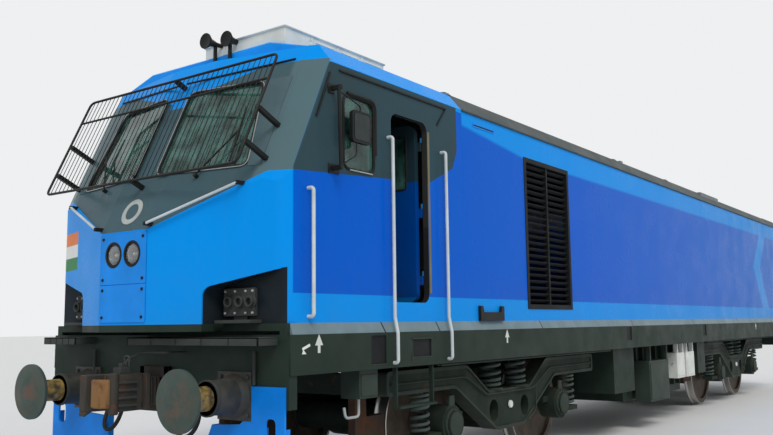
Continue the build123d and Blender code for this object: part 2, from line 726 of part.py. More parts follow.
def axlebox(x, outward):
    """An axlebox with its end cover, its spring seat and its guide link."""
    inner = -(WHEEL_BACKS / 2 + WHEEL_WIDTH + 160)
    outer = -FRAME_OUTER - 20
    box = bar_across(x, WHEEL_RADIUS, BOX_RADIUS, inner, outer)
    cover = bar_across(x, WHEEL_RADIUS, BOX_RADIUS - 55, outer - 55, outer)
    x0, x1 = sorted((x, x + outward * (SPRING_OFFSET + PRIMARY_RADIUS + 15)))
    seat = block(x0, x1, -FRAME_OUTER, -FRAME_INNER, SPRING_SEAT_Z - 60, SPRING_SEAT_Z)
    link_end = x - outward * LINK_REACH
    x0, x1 = sorted((x - outward * (BOX_RADIUS - 30), link_end))
    link = block(x0, x1, -SECONDARY_Y - 35, -SECONDARY_Y + 35, 650, 720)
    solid = box.fuse(cover, seat, link)
    solid -= bar_across(x, WHEEL_RADIUS, JOURNAL_RADIUS + FIT, inner + 100, -AXLE_LENGTH / 2 - 10)
    solid -= bar_across(x, WHEEL_RADIUS, JOURNAL_RADIUS + FIT, inner + 200, inner - 1)
    return solid


LINK_REACH = 330          # from the axle in to the side frame's slope


def coil_spring(x, y, z0, z1, radius, turns):
    """A coil spring between two seats, as a turned piece with one ridge for each turn."""
    pitch = (z1 - z0 - 2 * SPRING_CAP) / turns
    points = [(0, 0), (radius * 0.95, 0), (radius * 0.95, SPRING_CAP)]
    for turn in range(turns):
        low = SPRING_CAP + turn * pitch
        points.append((radius * 0.78, low + pitch * 0.1))
        points.append((radius, low + pitch * 0.35))
        points.append((radius, low + pitch * 0.65))
        points.append((radius * 0.78, low + pitch * 0.9))
    top = z1 - z0
    points += [(radius * 0.95, top - SPRING_CAP), (radius * 0.95, top), (0, top)]
    return ring_solid(points, x, y, z0)


SPRING_CAP = 22


def bogie_springs(station):
    """Four primary springs on the axleboxes and four secondary springs under the body."""
    pieces = []
    for side in (1, -1):
        y = side * SECONDARY_Y
        for end in (-1, 1):
            x = station + end * (WHEELBASE / 2 + SPRING_OFFSET)
            pieces.append(coil_spring(x, y, SPRING_SEAT_Z, BEAM_BOTTOM, PRIMARY_RADIUS, 6))
            x = station + end * SECONDARY_OFFSET
            pieces.append(coil_spring(x, y, DROP_TOP, CROSS_BOTTOM - FIT, SECONDARY_RADIUS, 8))
    return pieces


def traction_motor(station, end):
    """A motor that hangs on its axle by a sleeve and on the middle beam by its nose."""
    axle_x = station + end * WHEELBASE / 2
    x = station + end * MOTOR_OFFSET
    motor = bar_across(x, MOTOR_Z, MOTOR_RADIUS, -MOTOR_HALF, MOTOR_HALF)
    sleeve = bar_across(axle_x, WHEEL_RADIUS, AXLE_RADIUS + 60, -MOTOR_HALF, MOTOR_HALF)
    x0, x1 = sorted((x, axle_x))
    web = block(x0, x1, -MOTOR_HALF, MOTOR_HALF, WHEEL_RADIUS - 120, WHEEL_RADIUS + 120)
    x0, x1 = sorted((station + end * TRANSOM_HALF, x))
    nose = block(x0, x1, -150, 150, 640, 760)
    bore = bar_across(axle_x, WHEEL_RADIUS, AXLE_RADIUS + PLAY / 2, -2 * MOTOR_HALF, 2 * MOTOR_HALF)
    return motor.fuse(sleeve, web, nose) - bore


MOTOR_OFFSET = 690
MOTOR_Z = 640
MOTOR_RADIUS = 310
MOTOR_HALF = 680


def brake_unit(station, end):
    """A tread brake on the end beam, its block just clear of the wheel."""
    axle_x = station + end * WHEELBASE / 2
    beam_in = station + end * (BOGIE_LENGTH / 2 - END_BEAM)
    beam_out = station + end * (BOGIE_LENGTH / 2)
    y0 = -(WHEEL_BACKS / 2 + WHEEL_WIDTH)
    x0, x1 = sorted((axle_x + end * 480, beam_out))
    body = block(x0, x1, y0 + 5, y0 + 90, 480, 760)
    wheel = bar_across(axle_x, WHEEL_RADIUS, WHEEL_RADIUS + 12, y0 - 50, y0 + 150)
    body -= wheel
    x0, x1 = sorted((beam_in, beam_out))
    hanger = block(x0, x1, y0 + 5, y0 + 90, 760, BEAM_BOTTOM)
    return body.fuse(hanger)


def transformer():
    """The main transformer's tank under the floor, with cooling ribs."""
    tank = block(TANK_X[0], TANK_X[1], -TANK_HALF, TANK_HALF, TANK_Z, CROSS_BOTTOM)
    ribs = []
    for index in range(9):
        x = TANK_X[0] + 200 + index * (TANK_X[1] - TANK_X[0] - 400) / 8
        ribs.append(block(x - 15, x + 15, -TANK_HALF - 60, TANK_HALF + 60, TANK_Z + 120, CROSS_BOTTOM - 120))
    return tank.fuse(*ribs)


TANK_X = (8500, 11300)
TANK_HALF = 1150
TANK_Z = 420


def underfloor_boxes():
    """Battery and compressor boxes on the sills between bogies."""
    pieces = []
    for side in (1, -1):
        low, high = sorted((side * 880, side * 1440))
        pieces.append(block(7450, 8250, low, high, 620, SILL_BOTTOM + 145))
        pieces.append(block(11450, 11900, low, high, 700, SILL_BOTTOM + 145))
    return pieces


def air_reservoirs():
    """Two air tanks across the underframe, with domed ends, on saddles."""
    pieces = []
    for y in (-420, 420):
        tank = bar_along(7400, 8300, y, 1130, 180)
        saddle = block(7790, 7910, y - 60, y + 60, 1130, CROSS_BOTTOM)
        pieces.append(tank.fuse(saddle))
    return pieces


def aircon_unit():
    """The cab's cooling unit on the roof."""
    body = block(AIRCON_X[0], AIRCON_X[1], -AIRCON_HALF, AIRCON_HALF, CREST_Z - 30, AIRCON_TOP)
    uprights = body.edges().filter_by(Axis.Z)
    body = fillet(uprights, 60)
    body = chamfer(body.faces().sort_by(Axis.Z)[-1].edges(), 30)
    return body - cab_form(0, NOSE_CORNER)


AIRCON_X = (1150, 2600)
AIRCON_HALF = 1000
AIRCON_TOP = 4270


def horn(y, length):
    """An air horn on a post, its bell to the front."""
    points = [
        (HORN_X, 0), (HORN_X, 80), (HORN_X + 12, 80), (HORN_X + 120, 38), (HORN_X + length, 18),
        (HORN_X + length, 0),
    ]
    bell = turned_along(points, y, HORN_Z)
    post = bar_up(HORN_X + 150, y, CREST_Z - 20, HORN_Z, 14)
    return bell.fuse(post) - cab_form(0, NOSE_CORNER)


HORN_X = 900
HORN_Z = 4190


# Pantograph
PANTO_X = 15300           # the lower arm's main pivot
PANTO_BASE_Z = 3930
ARM = 1750                # lower arm, and upper arm from knee to collector
ARM_RISE = 3.5            # degrees that the folded arms rise
ARM_RADIUS = 32


def arm_tip():
    """The knee, at the lower arm's rear end, folded."""
    angle = math.radians(ARM_RISE)
    return PANTO_X + ARM * math.cos(angle), PANTO_PIVOT_Z + ARM * math.sin(angle)


PANTO_PIVOT_Z = 3985


def pantograph_frame():
    """The base frame, with the main bearings, on three insulators."""
    bars = []
    for y in (-380, 380):
        bars.append(block(PANTO_X - 700, PANTO_X + 1100, y - 35, y + 35, PANTO_BASE_Z - 60, PANTO_BASE_Z))
    for x in (PANTO_X - 700, PANTO_X + 1030):
        bars.append(block(x, x + 70, -380, 380, PANTO_BASE_Z - 60, PANTO_BASE_Z))
    for y in (-380, 380):
        low, high = y - 20, y + 20
        bars.append(block(PANTO_X - 60, PANTO_X + 60, low, high, PANTO_BASE_Z - 10, PANTO_PIVOT_Z + 50))
    guide_x = PANTO_X + GUIDE_BACK
    guide_z = PANTO_PIVOT_Z - GUIDE_DROP
    bars.append(block(guide_x - 50, guide_x + 50, -380, 380, PANTO_BASE_Z - 60, PANTO_BASE_Z - 35))
    for y in (-GUIDE_Y - 25, -GUIDE_Y + 25):
        bars.append(block(guide_x - 25, guide_x + 25, y - 6, y + 6, PANTO_BASE_Z - 40, guide_z + 25))
    bars.append(bar_across(guide_x, guide_z, GUIDE_PIN, -GUIDE_Y - 31, -GUIDE_Y + 31))
    frame = joined(bars)
    return frame - bar_across(PANTO_X, PANTO_PIVOT_Z, 30 + FIT, -500, 500)


def lower_arm():
    """The lower arm: a cross shaft in the bearings, and one tube back to the knee."""
    knee_x, knee_z = arm_tip()
    shaft = bar_across(PANTO_X, PANTO_PIVOT_Z, 30, -410, 410)
    tube = rod([(PANTO_X, 0, PANTO_PIVOT_Z), (knee_x, 0, knee_z)], 45, 0)
    eye = bar_across(knee_x, knee_z, 50, -60, 60)
    arm = shaft.fuse(tube, eye)
    return arm - bar_across(knee_x, knee_z, 22 + FIT, -500, 500)


def upper_arm():
    """The upper arm: two tubes from the knee forward to the collector's shaft."""
    knee_x, knee_z = arm_tip()
    head_z = knee_z + ARM * math.sin(math.radians(ARM_RISE))
    head_x = PANTO_X
    shaft = bar_across(knee_x, knee_z, 22, -205, 205)
    head = bar_across(head_x, head_z, 18, -520, 520)
    pieces = [shaft, head]
    for side in (1, -1):
        pieces.append(rod([(knee_x, side * 175, knee_z), (head_x, side * 330, head_z)], 24, 0))
    return joined(pieces)


def collector():
    """The collector head: two carbon strips with curved horns, on the upper arm's shaft."""
    head_x = PANTO_X
    head_z = arm_tip()[1] + ARM * math.sin(math.radians(ARM_RISE))
    pieces = []
    for side in (1, -1):
        sleeve = bar_across(head_x, head_z, 34, *sorted((side * 400, side * 470)))
        pieces.append(sleeve)
        low, high = sorted((side * 420, side * 450))
        pieces.append(block(head_x - 230, head_x + 230, low, high, head_z - 12, head_z + 45))
    for x in (head_x - 200, head_x + 200):
        pieces.append(block(x - 22, x + 22, -620, 620, head_z + 30, head_z + 62))
        for side in (1, -1):
            path = [
                (x, side * 560, head_z + 46), (x, side * 780, head_z + 46),
                (x, side * 930, head_z - 60), (x, side * 1000, head_z - 200),
            ]
            pieces.append(rod(path, 14, 90))
    head = joined(pieces)
    return head - bar_across(head_x, head_z, 18 + FIT, -600, 600)


def guide_rod():
    """The thin rod beside the lower arm that swings the upper arm."""
    knee_x, knee_z = arm_tip()
    y = -GUIDE_Y
    start = (PANTO_X + GUIDE_BACK, y, PANTO_PIVOT_Z - GUIDE_DROP)
    end = (knee_x + GUIDE_BACK, y, knee_z - GUIDE_DROP)
    tube = rod([start, end], 15, 0).fuse(bar_across(start[0], start[2], 24, y - 15, y + 15))
    return tube - bar_across(start[0], start[2], GUIDE_PIN + FIT, y - 30, y + 30)


GUIDE_Y = 110
GUIDE_BACK = 120
GUIDE_DROP = 60
GUIDE_PIN = 10


def roof_insulator(x, y, z0, z1):
    """A ribbed post insulator."""
    tall = z1 - z0
    sheds = 5
    points = [(0, 0), (62, 0), (62, 14)]
    for index in range(sheds):
        low = 20 + index * (tall - 40) / sheds
        points += [(38, low), (70, low + 8), (42, low + 24)]
    points += [(55, tall - 14), (55, tall), (0, tall)]
    return ring_solid(points, x, y, z0)


def roof_insulators():
    """Posts under the pantograph's frame and under the roof conductor."""
    pieces = []
    for x, y in ((PANTO_X - 665, -345), (PANTO_X - 665, 345), (PANTO_X + 1065, 0)):
        pieces.append(roof_insulator(x, y, WELL_Z, PANTO_BASE_Z - 60))
    for x in BUSBAR_POSTS:
        pieces.append(roof_insulator(x, BUSBAR_Y, WELL_Z, BUSBAR_Z))
    return pieces


BUSBAR_POSTS = (13200, 13900)
BUSBAR_Y = 700
BUSBAR_Z = 3960


def roof_busbar():
    """The conductor from the pantograph's frame to the main switch."""
    start = BUSBAR_POSTS[0] - 120
    bar = bar_along(start, BUSBAR_POSTS[1], BUSBAR_Y, BUSBAR_Z + 20, 20)
    points = [
        (BUSBAR_POSTS[1] - 10, BUSBAR_Y, BUSBAR_Z + 20), (BUSBAR_POSTS[1] + 200, BUSBAR_Y, BUSBAR_Z + 20),
        (PANTO_X - 665, BUSBAR_Y - 120, PANTO_BASE_Z - 30), (PANTO_X - 665, 415, PANTO_BASE_Z - 30),
    ]
    return bar.fuse(rod(points, 20, 80))


def driver_desk():
    """The desk across the cab, under the windscreens."""
    points = [(700, FLOOR_Z), (1150, FLOOR_Z), (1080, 2380), (1300, 2450), (1290, 2520), (760, 2700), (700, 2700)]
    return side_plate(points, -DESK_HALF, DESK_HALF)


DESK_HALF = 1150
SEAT_X = 1750
SEAT_Y = 640


def driver_seat(side):
    """A seat on a round foot."""
    y = side * SEAT_Y
    foot = bar_up(SEAT_X, y, FLOOR_Z, FLOOR_Z + 30, 200)
    post = bar_up(SEAT_X, y, FLOOR_Z, FLOOR_Z + 420, 50)
    cushion = block(SEAT_X - 230, SEAT_X + 230, y - 230, y + 230, FLOOR_Z + 400, FLOOR_Z + 510)
    back = block(SEAT_X + 190, SEAT_X + 290, y - 220, y + 220, FLOOR_Z + 450, FLOOR_Z + 1150)
    return foot.fuse(post, cushion, back)


def gangway():
    """The bellows frame around the gangway door."""
    outer = block(REAR_WALL_X, LENGTH, -GANGWAY_HALF, GANGWAY_HALF, GANGWAY_Z[0], GANGWAY_Z[1])
    inner = block(
        REAR_WALL_X, LENGTH, -GANGWAY_HALF + 90, GANGWAY_HALF - 90, GANGWAY_Z[0] + 60, GANGWAY_Z[1] - 90,
    )
    return outer - inner


GANGWAY_HALF = 480
GANGWAY_Z = (1640, 3720)


def rear_drawbar():
    """The fixed drawbar towards the other section, with its pin's eye."""
    shank = block(REAR_WALL_X, LENGTH - 60, -60, 60, DRAWBAR_Z - 60, DRAWBAR_Z + 60)
    eye = bar_up(LENGTH - 130, 0, DRAWBAR_Z - 60, DRAWBAR_Z + 60, 110)
    pocket = block(REAR_WALL_X, REAR_WALL_X + 30, -160, 160, DRAWBAR_Z - 150, SILL_BOTTOM + 60)
    bar = shank.fuse(eye, pocket)
    return bar - bar_up(LENGTH - 130, 0, DRAWBAR_Z - 100, DRAWBAR_Z + 100, 40)


def cab_handrails():
    """Grab rails beside the doors and on the nose's corner."""
    side_y = -BODY_WIDTH / 2
    rails = []
    for x in (DOOR_X[0] - 55, DOOR_X[1] + 250):
        out = side_y - 60
        points = [
            (x, side_y, 3350), (x, out, 3350), (x, out, 1700), (x, out - 30, 1560), (x, out - 30, 1300),
            (x, -SILL_WIDTH / 2, 1300),
        ]
        rails.append(rod(points, 16, 28))
    x = 870
    out = side_y - 60
    rails.append(rod([(x, side_y, 2744), (x, out, 2744), (x, out, 1710), (x, side_y, 1710)], 16, 28))
    return rails


def cab_step():
    """Step tread under the cab door, on hangers from the sill, outside the turned bogie."""
    outer = -SILL_WIDTH / 2
    x0, x1 = DOOR_X
    pieces = [block(x0, x1, outer - STEP_OUT, outer + STEP_IN, STEP_Z, STEP_Z + 20)]
    for side_x in (x0, x1 - 15):
        pieces.append(block(side_x, side_x + 15, outer, outer + STEP_IN, STEP_Z, SILL_BOTTOM))
    return joined(pieces)


STEP_Z = 890
STEP_OUT = 40
STEP_IN = 45


def windscreen_guard(side):
    """A frame of tube with thin upright bars, on feet that hold it off the windscreen."""
    plane = screen_plane(side)
    inner, bottom = on_screen(side, GUARD_Y[0], GUARD_Z[0])
    outer, top = on_screen(side, GUARD_Y[1], GUARD_Z[1])
    left, right = sorted((inner, outer))
    middle = ((left + right) / 2, (bottom + top) / 2)
    outline = Pos(*middle, GUARD_OFF) * RectangleRounded(right - left, top - bottom, 40).wire()
    start = Plane(outline @ 0, z_dir=outline % 0)
    pieces = [sweep(start * Circle(GUARD_TUBE), path=outline)]
    cross = top - GUARD_CROSS
    pieces.append(local_bar(left, right, cross, cross, GUARD_OFF, GUARD_TUBE))
    for index in range(GUARD_BARS):
        x = left + (index + 1) * (right - left) / (GUARD_BARS + 1)
        pieces.append(Pos(x, middle[1], GUARD_OFF) * Box(GUARD_BAR, top - bottom, GUARD_BAR))
    for x in (left + 150, right - 150):
        for y in (bottom, top):
            foot = Pos(x, y, GUARD_OFF / 2) * Box(30, 24, GUARD_OFF)
            pieces.append(foot)
    return plane * joined(pieces)


def local_bar(x0, x1, y0, y1, z, radius):
    """A round bar between two points at one distance from a local plane."""
    return rod([(x0, y0, z), (x1, y1, z)], radius, 0)


GUARD_Y = (45, 1235)
GUARD_Z = (2925, 3800)
GUARD_OFF = 150
GUARD_TUBE = 14
GUARD_BAR = 8
GUARD_BARS = 26
GUARD_CROSS = 110         # second bar under the top


def wiper(side):
    """A wiper: spindle, arm and blade, just clear of the glass."""
    plane = screen_plane(side)
    x, y = on_screen(side, WIPER_PIVOT[0], WIPER_PIVOT[1])
    tip_x, tip_y = on_screen(side, WIPER_TIP[0], WIPER_TIP[1])
    spindle = Pos(x, y, 20) * Cylinder(18, 40)
    arm = local_bar(x, tip_x, y, tip_y, 32, 8)
    blade = local_bar(tip_x, tip_x, tip_y - 300, tip_y + 260, 22, 9)
    return plane * joined([spindle, arm, blade])


WIPER_PIVOT = (620, 2885)
WIPER_TIP = (900, 3260)


def mirror_unit(side):
    """A driving mirror on two stays beside the windscreen."""
    x = 1000
    y0 = side * BODY_WIDTH / 2
    out = side * (BODY_WIDTH / 2 + 40)
    post = rod([(x, y0, 3560), (x, out, 3560), (x, out, 2960), (x, y0, 2960)], 11, 20)
    low, high = sorted((out, side * (BODY_WIDTH / 2 + 40 - 22)))
    head = block(x + 20, x + 150, low, high, 3200, 3420)
    arm = block(x, x + 30, low, high, 3290, 3330)
    return post.fuse(arm, head)


def air_hoses():
    """Brake hoses beside the coupler: each from its cock on the headstock to its hook."""
    pieces = []
    for side in (1, -1):
        y = side * 420
        x = HEADSTOCK_X - 60
        cock = block(x, HEADSTOCK_X, y - 35, y + 35, 1080, 1150)
        points = [
            (x + 30, y, 1080), (x - 40, y, 940), (x - 60, y + side * 60, 800), (x - 20, y + side * 130, 780),
            (x + 20, y + side * 160, 900), (x + 30, y + side * 160, 1040),
        ]
        hose = rod(points, 20, 45)
        hook = block(x, HEADSTOCK_X, y + side * 160 - 20, y + side * 160 + 20, 1030, 1080)
        pieces.append(cock.fuse(hose, hook))
    return pieces


def jumper_boxes():
    """Sockets for the electric couplings, in the recesses of the nose."""
    pieces = []
    for side in (1, -1):
        low, high = sorted((side * 900, side * 1260))
        pieces.append(block(RECESS_BACK - 60, RECESS_BACK, low, high, 1720, 1950))
    return pieces


def lifting_brackets():
    """Brackets with two upright horns on the ledge behind the door."""
    pieces = []
    body = BODY_WIDTH / 2
    for side in (1, -1):
        low, high = sorted((side * body, side * (body + 60)))
        plate = block(3300, 4100, low, high, 1662, 1690)
        for x in (3420, 3940):
            plate = plate.fuse(block(x, x + 40, low, high, 1662, 1780))
        pieces.append(plate)
    return pieces


def build():
    """Every node's name with its solids."""
    nodes = {
        "underframe": [underframe()],
        "sill_ledges": both_sides(sill_ledge()),
        "cab_shell": [cab_shell()],
        "body_sides": both_sides(body_side()),
        "side_grilles": both_sides(side_grille()),
        "rear_wall": [rear_wall()],
        "cab_bulkhead": [cab_bulkhead()],
        "roof_hatches": roof_sections(),
        "nose_panel": [nose_panel()],
        "headlamps": [headlamp(-1), headlamp(1)],
        "windscreens": [windscreen(-1), windscreen(1)],
        "side_windows": both_sides(side_window()),
        "windscreen_guards": [windscreen_guard(-1), windscreen_guard(1)],
        "wipers": [wiper(-1), wiper(1)],
        "mirrors": [mirror_unit(-1), mirror_unit(1)],
        "handrails": cab_handrails() + [mirrored(rail) for rail in cab_handrails()],
        "cab_steps": both_sides(cab_step()),
        "buffers": [buffer(-1), buffer(1)],
        "coupler_head": [coupler()],
        "coupler_knuckle": [knuckle()],
        "rail_guard": [rail_guard()],
        "air_hoses": air_hoses(),
        "jumper_boxes": jumper_boxes(),
        "lifting_brackets": lifting_brackets(),
        "aircon_unit": [aircon_unit()],
        "horns": [horn(-110, 200), horn(110, 230)],
        "transformer": [transformer()],
        "underfloor_boxes": underfloor_boxes(),
        "air_reservoirs": air_reservoirs(),
        "roof_insulators": roof_insulators(),
        "roof_busbar": [roof_busbar()],
        "pantograph_frame": [pantograph_frame()],
        "pantograph_lower_arm": [lower_arm()],
        "pantograph_upper_arm": [upper_arm()],
        "pantograph_collector": [collector()],
        "pantograph_guide_rod": [guide_rod()],
        "driver_desk": [driver_desk()],
        "driver_seats": [driver_seat(-1), driver_seat(1)],
        "gangway": [gangway()],
        "rear_drawbar": [rear_drawbar()],
        "door_left": [cab_door(DOOR_REST_ANGLE)],
        "door_right": [mirrored(cab_door(0))],
        "door_rear": [end_door()],
    }
    for name, station in zip(("front", "rear"), BOGIE_STATIONS):
        nodes[f"bogie_frame_{name}"] = [bogie_frame(station)]
        boxes = [
            axlebox(station - WHEELBASE / 2, -1),
            axlebox(station + WHEELBASE / 2, 1),
        ]
        nodes[f"axleboxes_{name}"] = boxes + [mirrored(box) for box in boxes]
        nodes[f"springs_{name}"] = bogie_springs(station)
        nodes[f"motors_{name}"] = [traction_motor(station, -1), traction_motor(station, 1)]
        brakes = [brake_unit(station, -1), brake_unit(station, 1)]
        nodes[f"brakes_{name}"] = brakes + [mirrored(unit) for unit in brakes]
    axles = [x for station in BOGIE_STATIONS for x in axle_stations(station)]
    for number, x in enumerate(axles, start=1):
        nodes[f"wheelset_{number}"] = [wheelset(x)]
    return nodes


def write(nodes):
    """One STEP file for each node, with the origin moved to its reference point."""
    os.makedirs("parts", exist_ok=True)
    home = Pos(-LENGTH / 2, 0, FLANGE_HEIGHT)
    for name, solids in nodes.items():
        placed = [home * solid for solid in solids]
        shape = placed[0] if len(placed) == 1 else Compound(children=placed)
        export_step(shape, f"parts/{name}.step")
        print(name, len(solids))


write(build())
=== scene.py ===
# %% [markdown]
# An electric locomotive, dressed for a picture
#
# The solids come from CAD: a cab, a long body, two bogies and a pantograph, each a node that
# already sits in its place. Blender's work is the paint, the glass, the dust and the small
# things that CAD leaves out. One unit is one metre. X runs from the buffers to the back, Y
# across, with the driver's door at minus Y, and Z up from the wheels' lowest point.

import math

import bmesh
import bpy
from mathutils import Matrix, Vector


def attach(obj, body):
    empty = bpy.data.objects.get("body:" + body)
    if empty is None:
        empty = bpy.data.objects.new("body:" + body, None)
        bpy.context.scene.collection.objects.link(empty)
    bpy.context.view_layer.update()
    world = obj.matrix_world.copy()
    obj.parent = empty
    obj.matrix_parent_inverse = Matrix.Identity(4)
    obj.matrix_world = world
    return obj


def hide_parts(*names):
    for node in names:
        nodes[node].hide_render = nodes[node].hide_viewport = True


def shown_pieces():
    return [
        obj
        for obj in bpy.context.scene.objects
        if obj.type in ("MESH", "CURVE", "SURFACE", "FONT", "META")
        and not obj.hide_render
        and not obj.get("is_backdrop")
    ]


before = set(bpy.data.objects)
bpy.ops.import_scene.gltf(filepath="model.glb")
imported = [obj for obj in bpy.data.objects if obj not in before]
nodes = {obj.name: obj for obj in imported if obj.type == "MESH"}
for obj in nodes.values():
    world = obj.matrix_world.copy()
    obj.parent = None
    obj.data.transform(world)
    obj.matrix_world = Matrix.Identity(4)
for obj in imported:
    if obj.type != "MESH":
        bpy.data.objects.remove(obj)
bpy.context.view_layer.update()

# %% [markdown]
# The drawing speaks of stations, which are distances behind the buffer faces, and of heights
# over the rail. One small helper turns those into the frame's own numbers, so that a size read
# in the drawing can be typed here as it stands. The paints below work in the frame's numbers.

# %% Stations and heights
HALF_LENGTH = 9.6
FLANGE = 0.030
HALF_WIDTH = 1.52


def place(station, y, height):
    """A point from a station, a side distance and a height over the rail, in metres."""
    return Vector((station - HALF_LENGTH, y, height + FLANGE))


print("front of the nose", place(0.235, 0, 2.45))

# %% [markdown]
# The camera stands where the photographer stood. Its place and its three angles were solved
# from sizes that are known on such a locomotive, such as the buffers' spacing. Typing the
# angles as a matrix keeps the roll, which a camera that merely looks at a target would lose.

# %% Camera
YAW, PITCH, ROLL = 0.6317865, 0.1250663, -0.0120576
CAMERA_PLACE = (-13.794, -6.010, 1.678)
forward = Vector((
    math.cos(YAW) * math.cos(PITCH), math.sin(YAW) * math.cos(PITCH), math.sin(PITCH),
))
level = Vector((math.sin(YAW), -math.cos(YAW), 0))
upward = level.cross(forward)
right = math.cos(ROLL) * level + math.sin(ROLL) * upward
up = -math.sin(ROLL) * level + math.cos(ROLL) * upward

camera_data = bpy.data.cameras.new("view")
camera_data.sensor_width = 36
camera_data.lens = 39.242
camera_data.clip_end = 500
camera = bpy.data.objects.new("view", camera_data)
camera.matrix_world = Matrix.Translation(CAMERA_PLACE) @ Matrix((
    (right.x, up.x, -forward.x, 0),
    (right.y, up.y, -forward.y, 0),
    (right.z, up.z, -forward.z, 0),
    (0, 0, 0, 1),
))
bpy.context.scene.collection.objects.link(camera)
bpy.context.scene.camera = camera
print("camera at", camera.matrix_world.translation)

# %% [markdown]
# Light for a picture of an object is best plain and soft: an even sky, and one broad sun from
# the front left that gives the panels their shape. The white behind the object isn't light on
# it. It comes from a second background that only the camera, mirrors and glass can see.

# %% World and sun
scene = bpy.context.scene
scene.view_settings.view_transform = "Standard"
world = bpy.data.worlds.new("studio")
scene.world = world
world.use_nodes = True
sky = world.node_tree.nodes["Background"]
sky.inputs["Color"].default_value = (0.93, 0.96, 1.0, 1)
sky.inputs["Strength"].default_value = 0.62
backdrop = world.node_tree.nodes.new("ShaderNodeBackground")
backdrop.inputs["Color"].default_value = (0.86, 0.87, 0.88, 1)
ray = world.node_tree.nodes.new("ShaderNodeLightPath")
choose = world.node_tree.nodes.new("ShaderNodeMixShader")
link = world.node_tree.links.new
seen = ray.outputs["Is Camera Ray"]
for way in ("Is Glossy Ray", "Is Transmission Ray"):
    either = world.node_tree.nodes.new("ShaderNodeMath")
    either.operation = "MAXIMUM"
    link(seen, either.inputs[0])
    link(ray.outputs[way], either.inputs[1])
    seen = either.outputs[0]
link(seen, choose.inputs[0])
link(sky.outputs[0], choose.inputs[1])
link(backdrop.outputs[0], choose.inputs[2])
link(choose.outputs[0], world.node_tree.nodes["World Output"].inputs["Surface"])

sun_data = bpy.data.lights.new("sun", "SUN")
sun_data.energy = 1.5
sun_data.angle = math.radians(25)
sun_data.color = (1.0, 0.98, 0.94)
sun = bpy.data.objects.new("sun", sun_data)
sun.rotation_euler = Vector((-0.62, -0.75, 1.1)).to_track_quat("Z", "Y").to_euler()
scene.collection.objects.link(sun)
print("sun from", sun.matrix_world.to_3x3().col[2])

# %% [markdown]
# A material here is a small sum over positions. A livery with stripes could be drawn as a
# picture and wrapped round the body, but the body is made of flat sheets at known heights, so
# a rule such as "light blue below this height" is exact, sharp at any size and easy to change.
# The class below gives short names to the nodes that such rules need, and keeps each paint in
# a table under its own name.

# %% A helper that writes materials
finish = {}


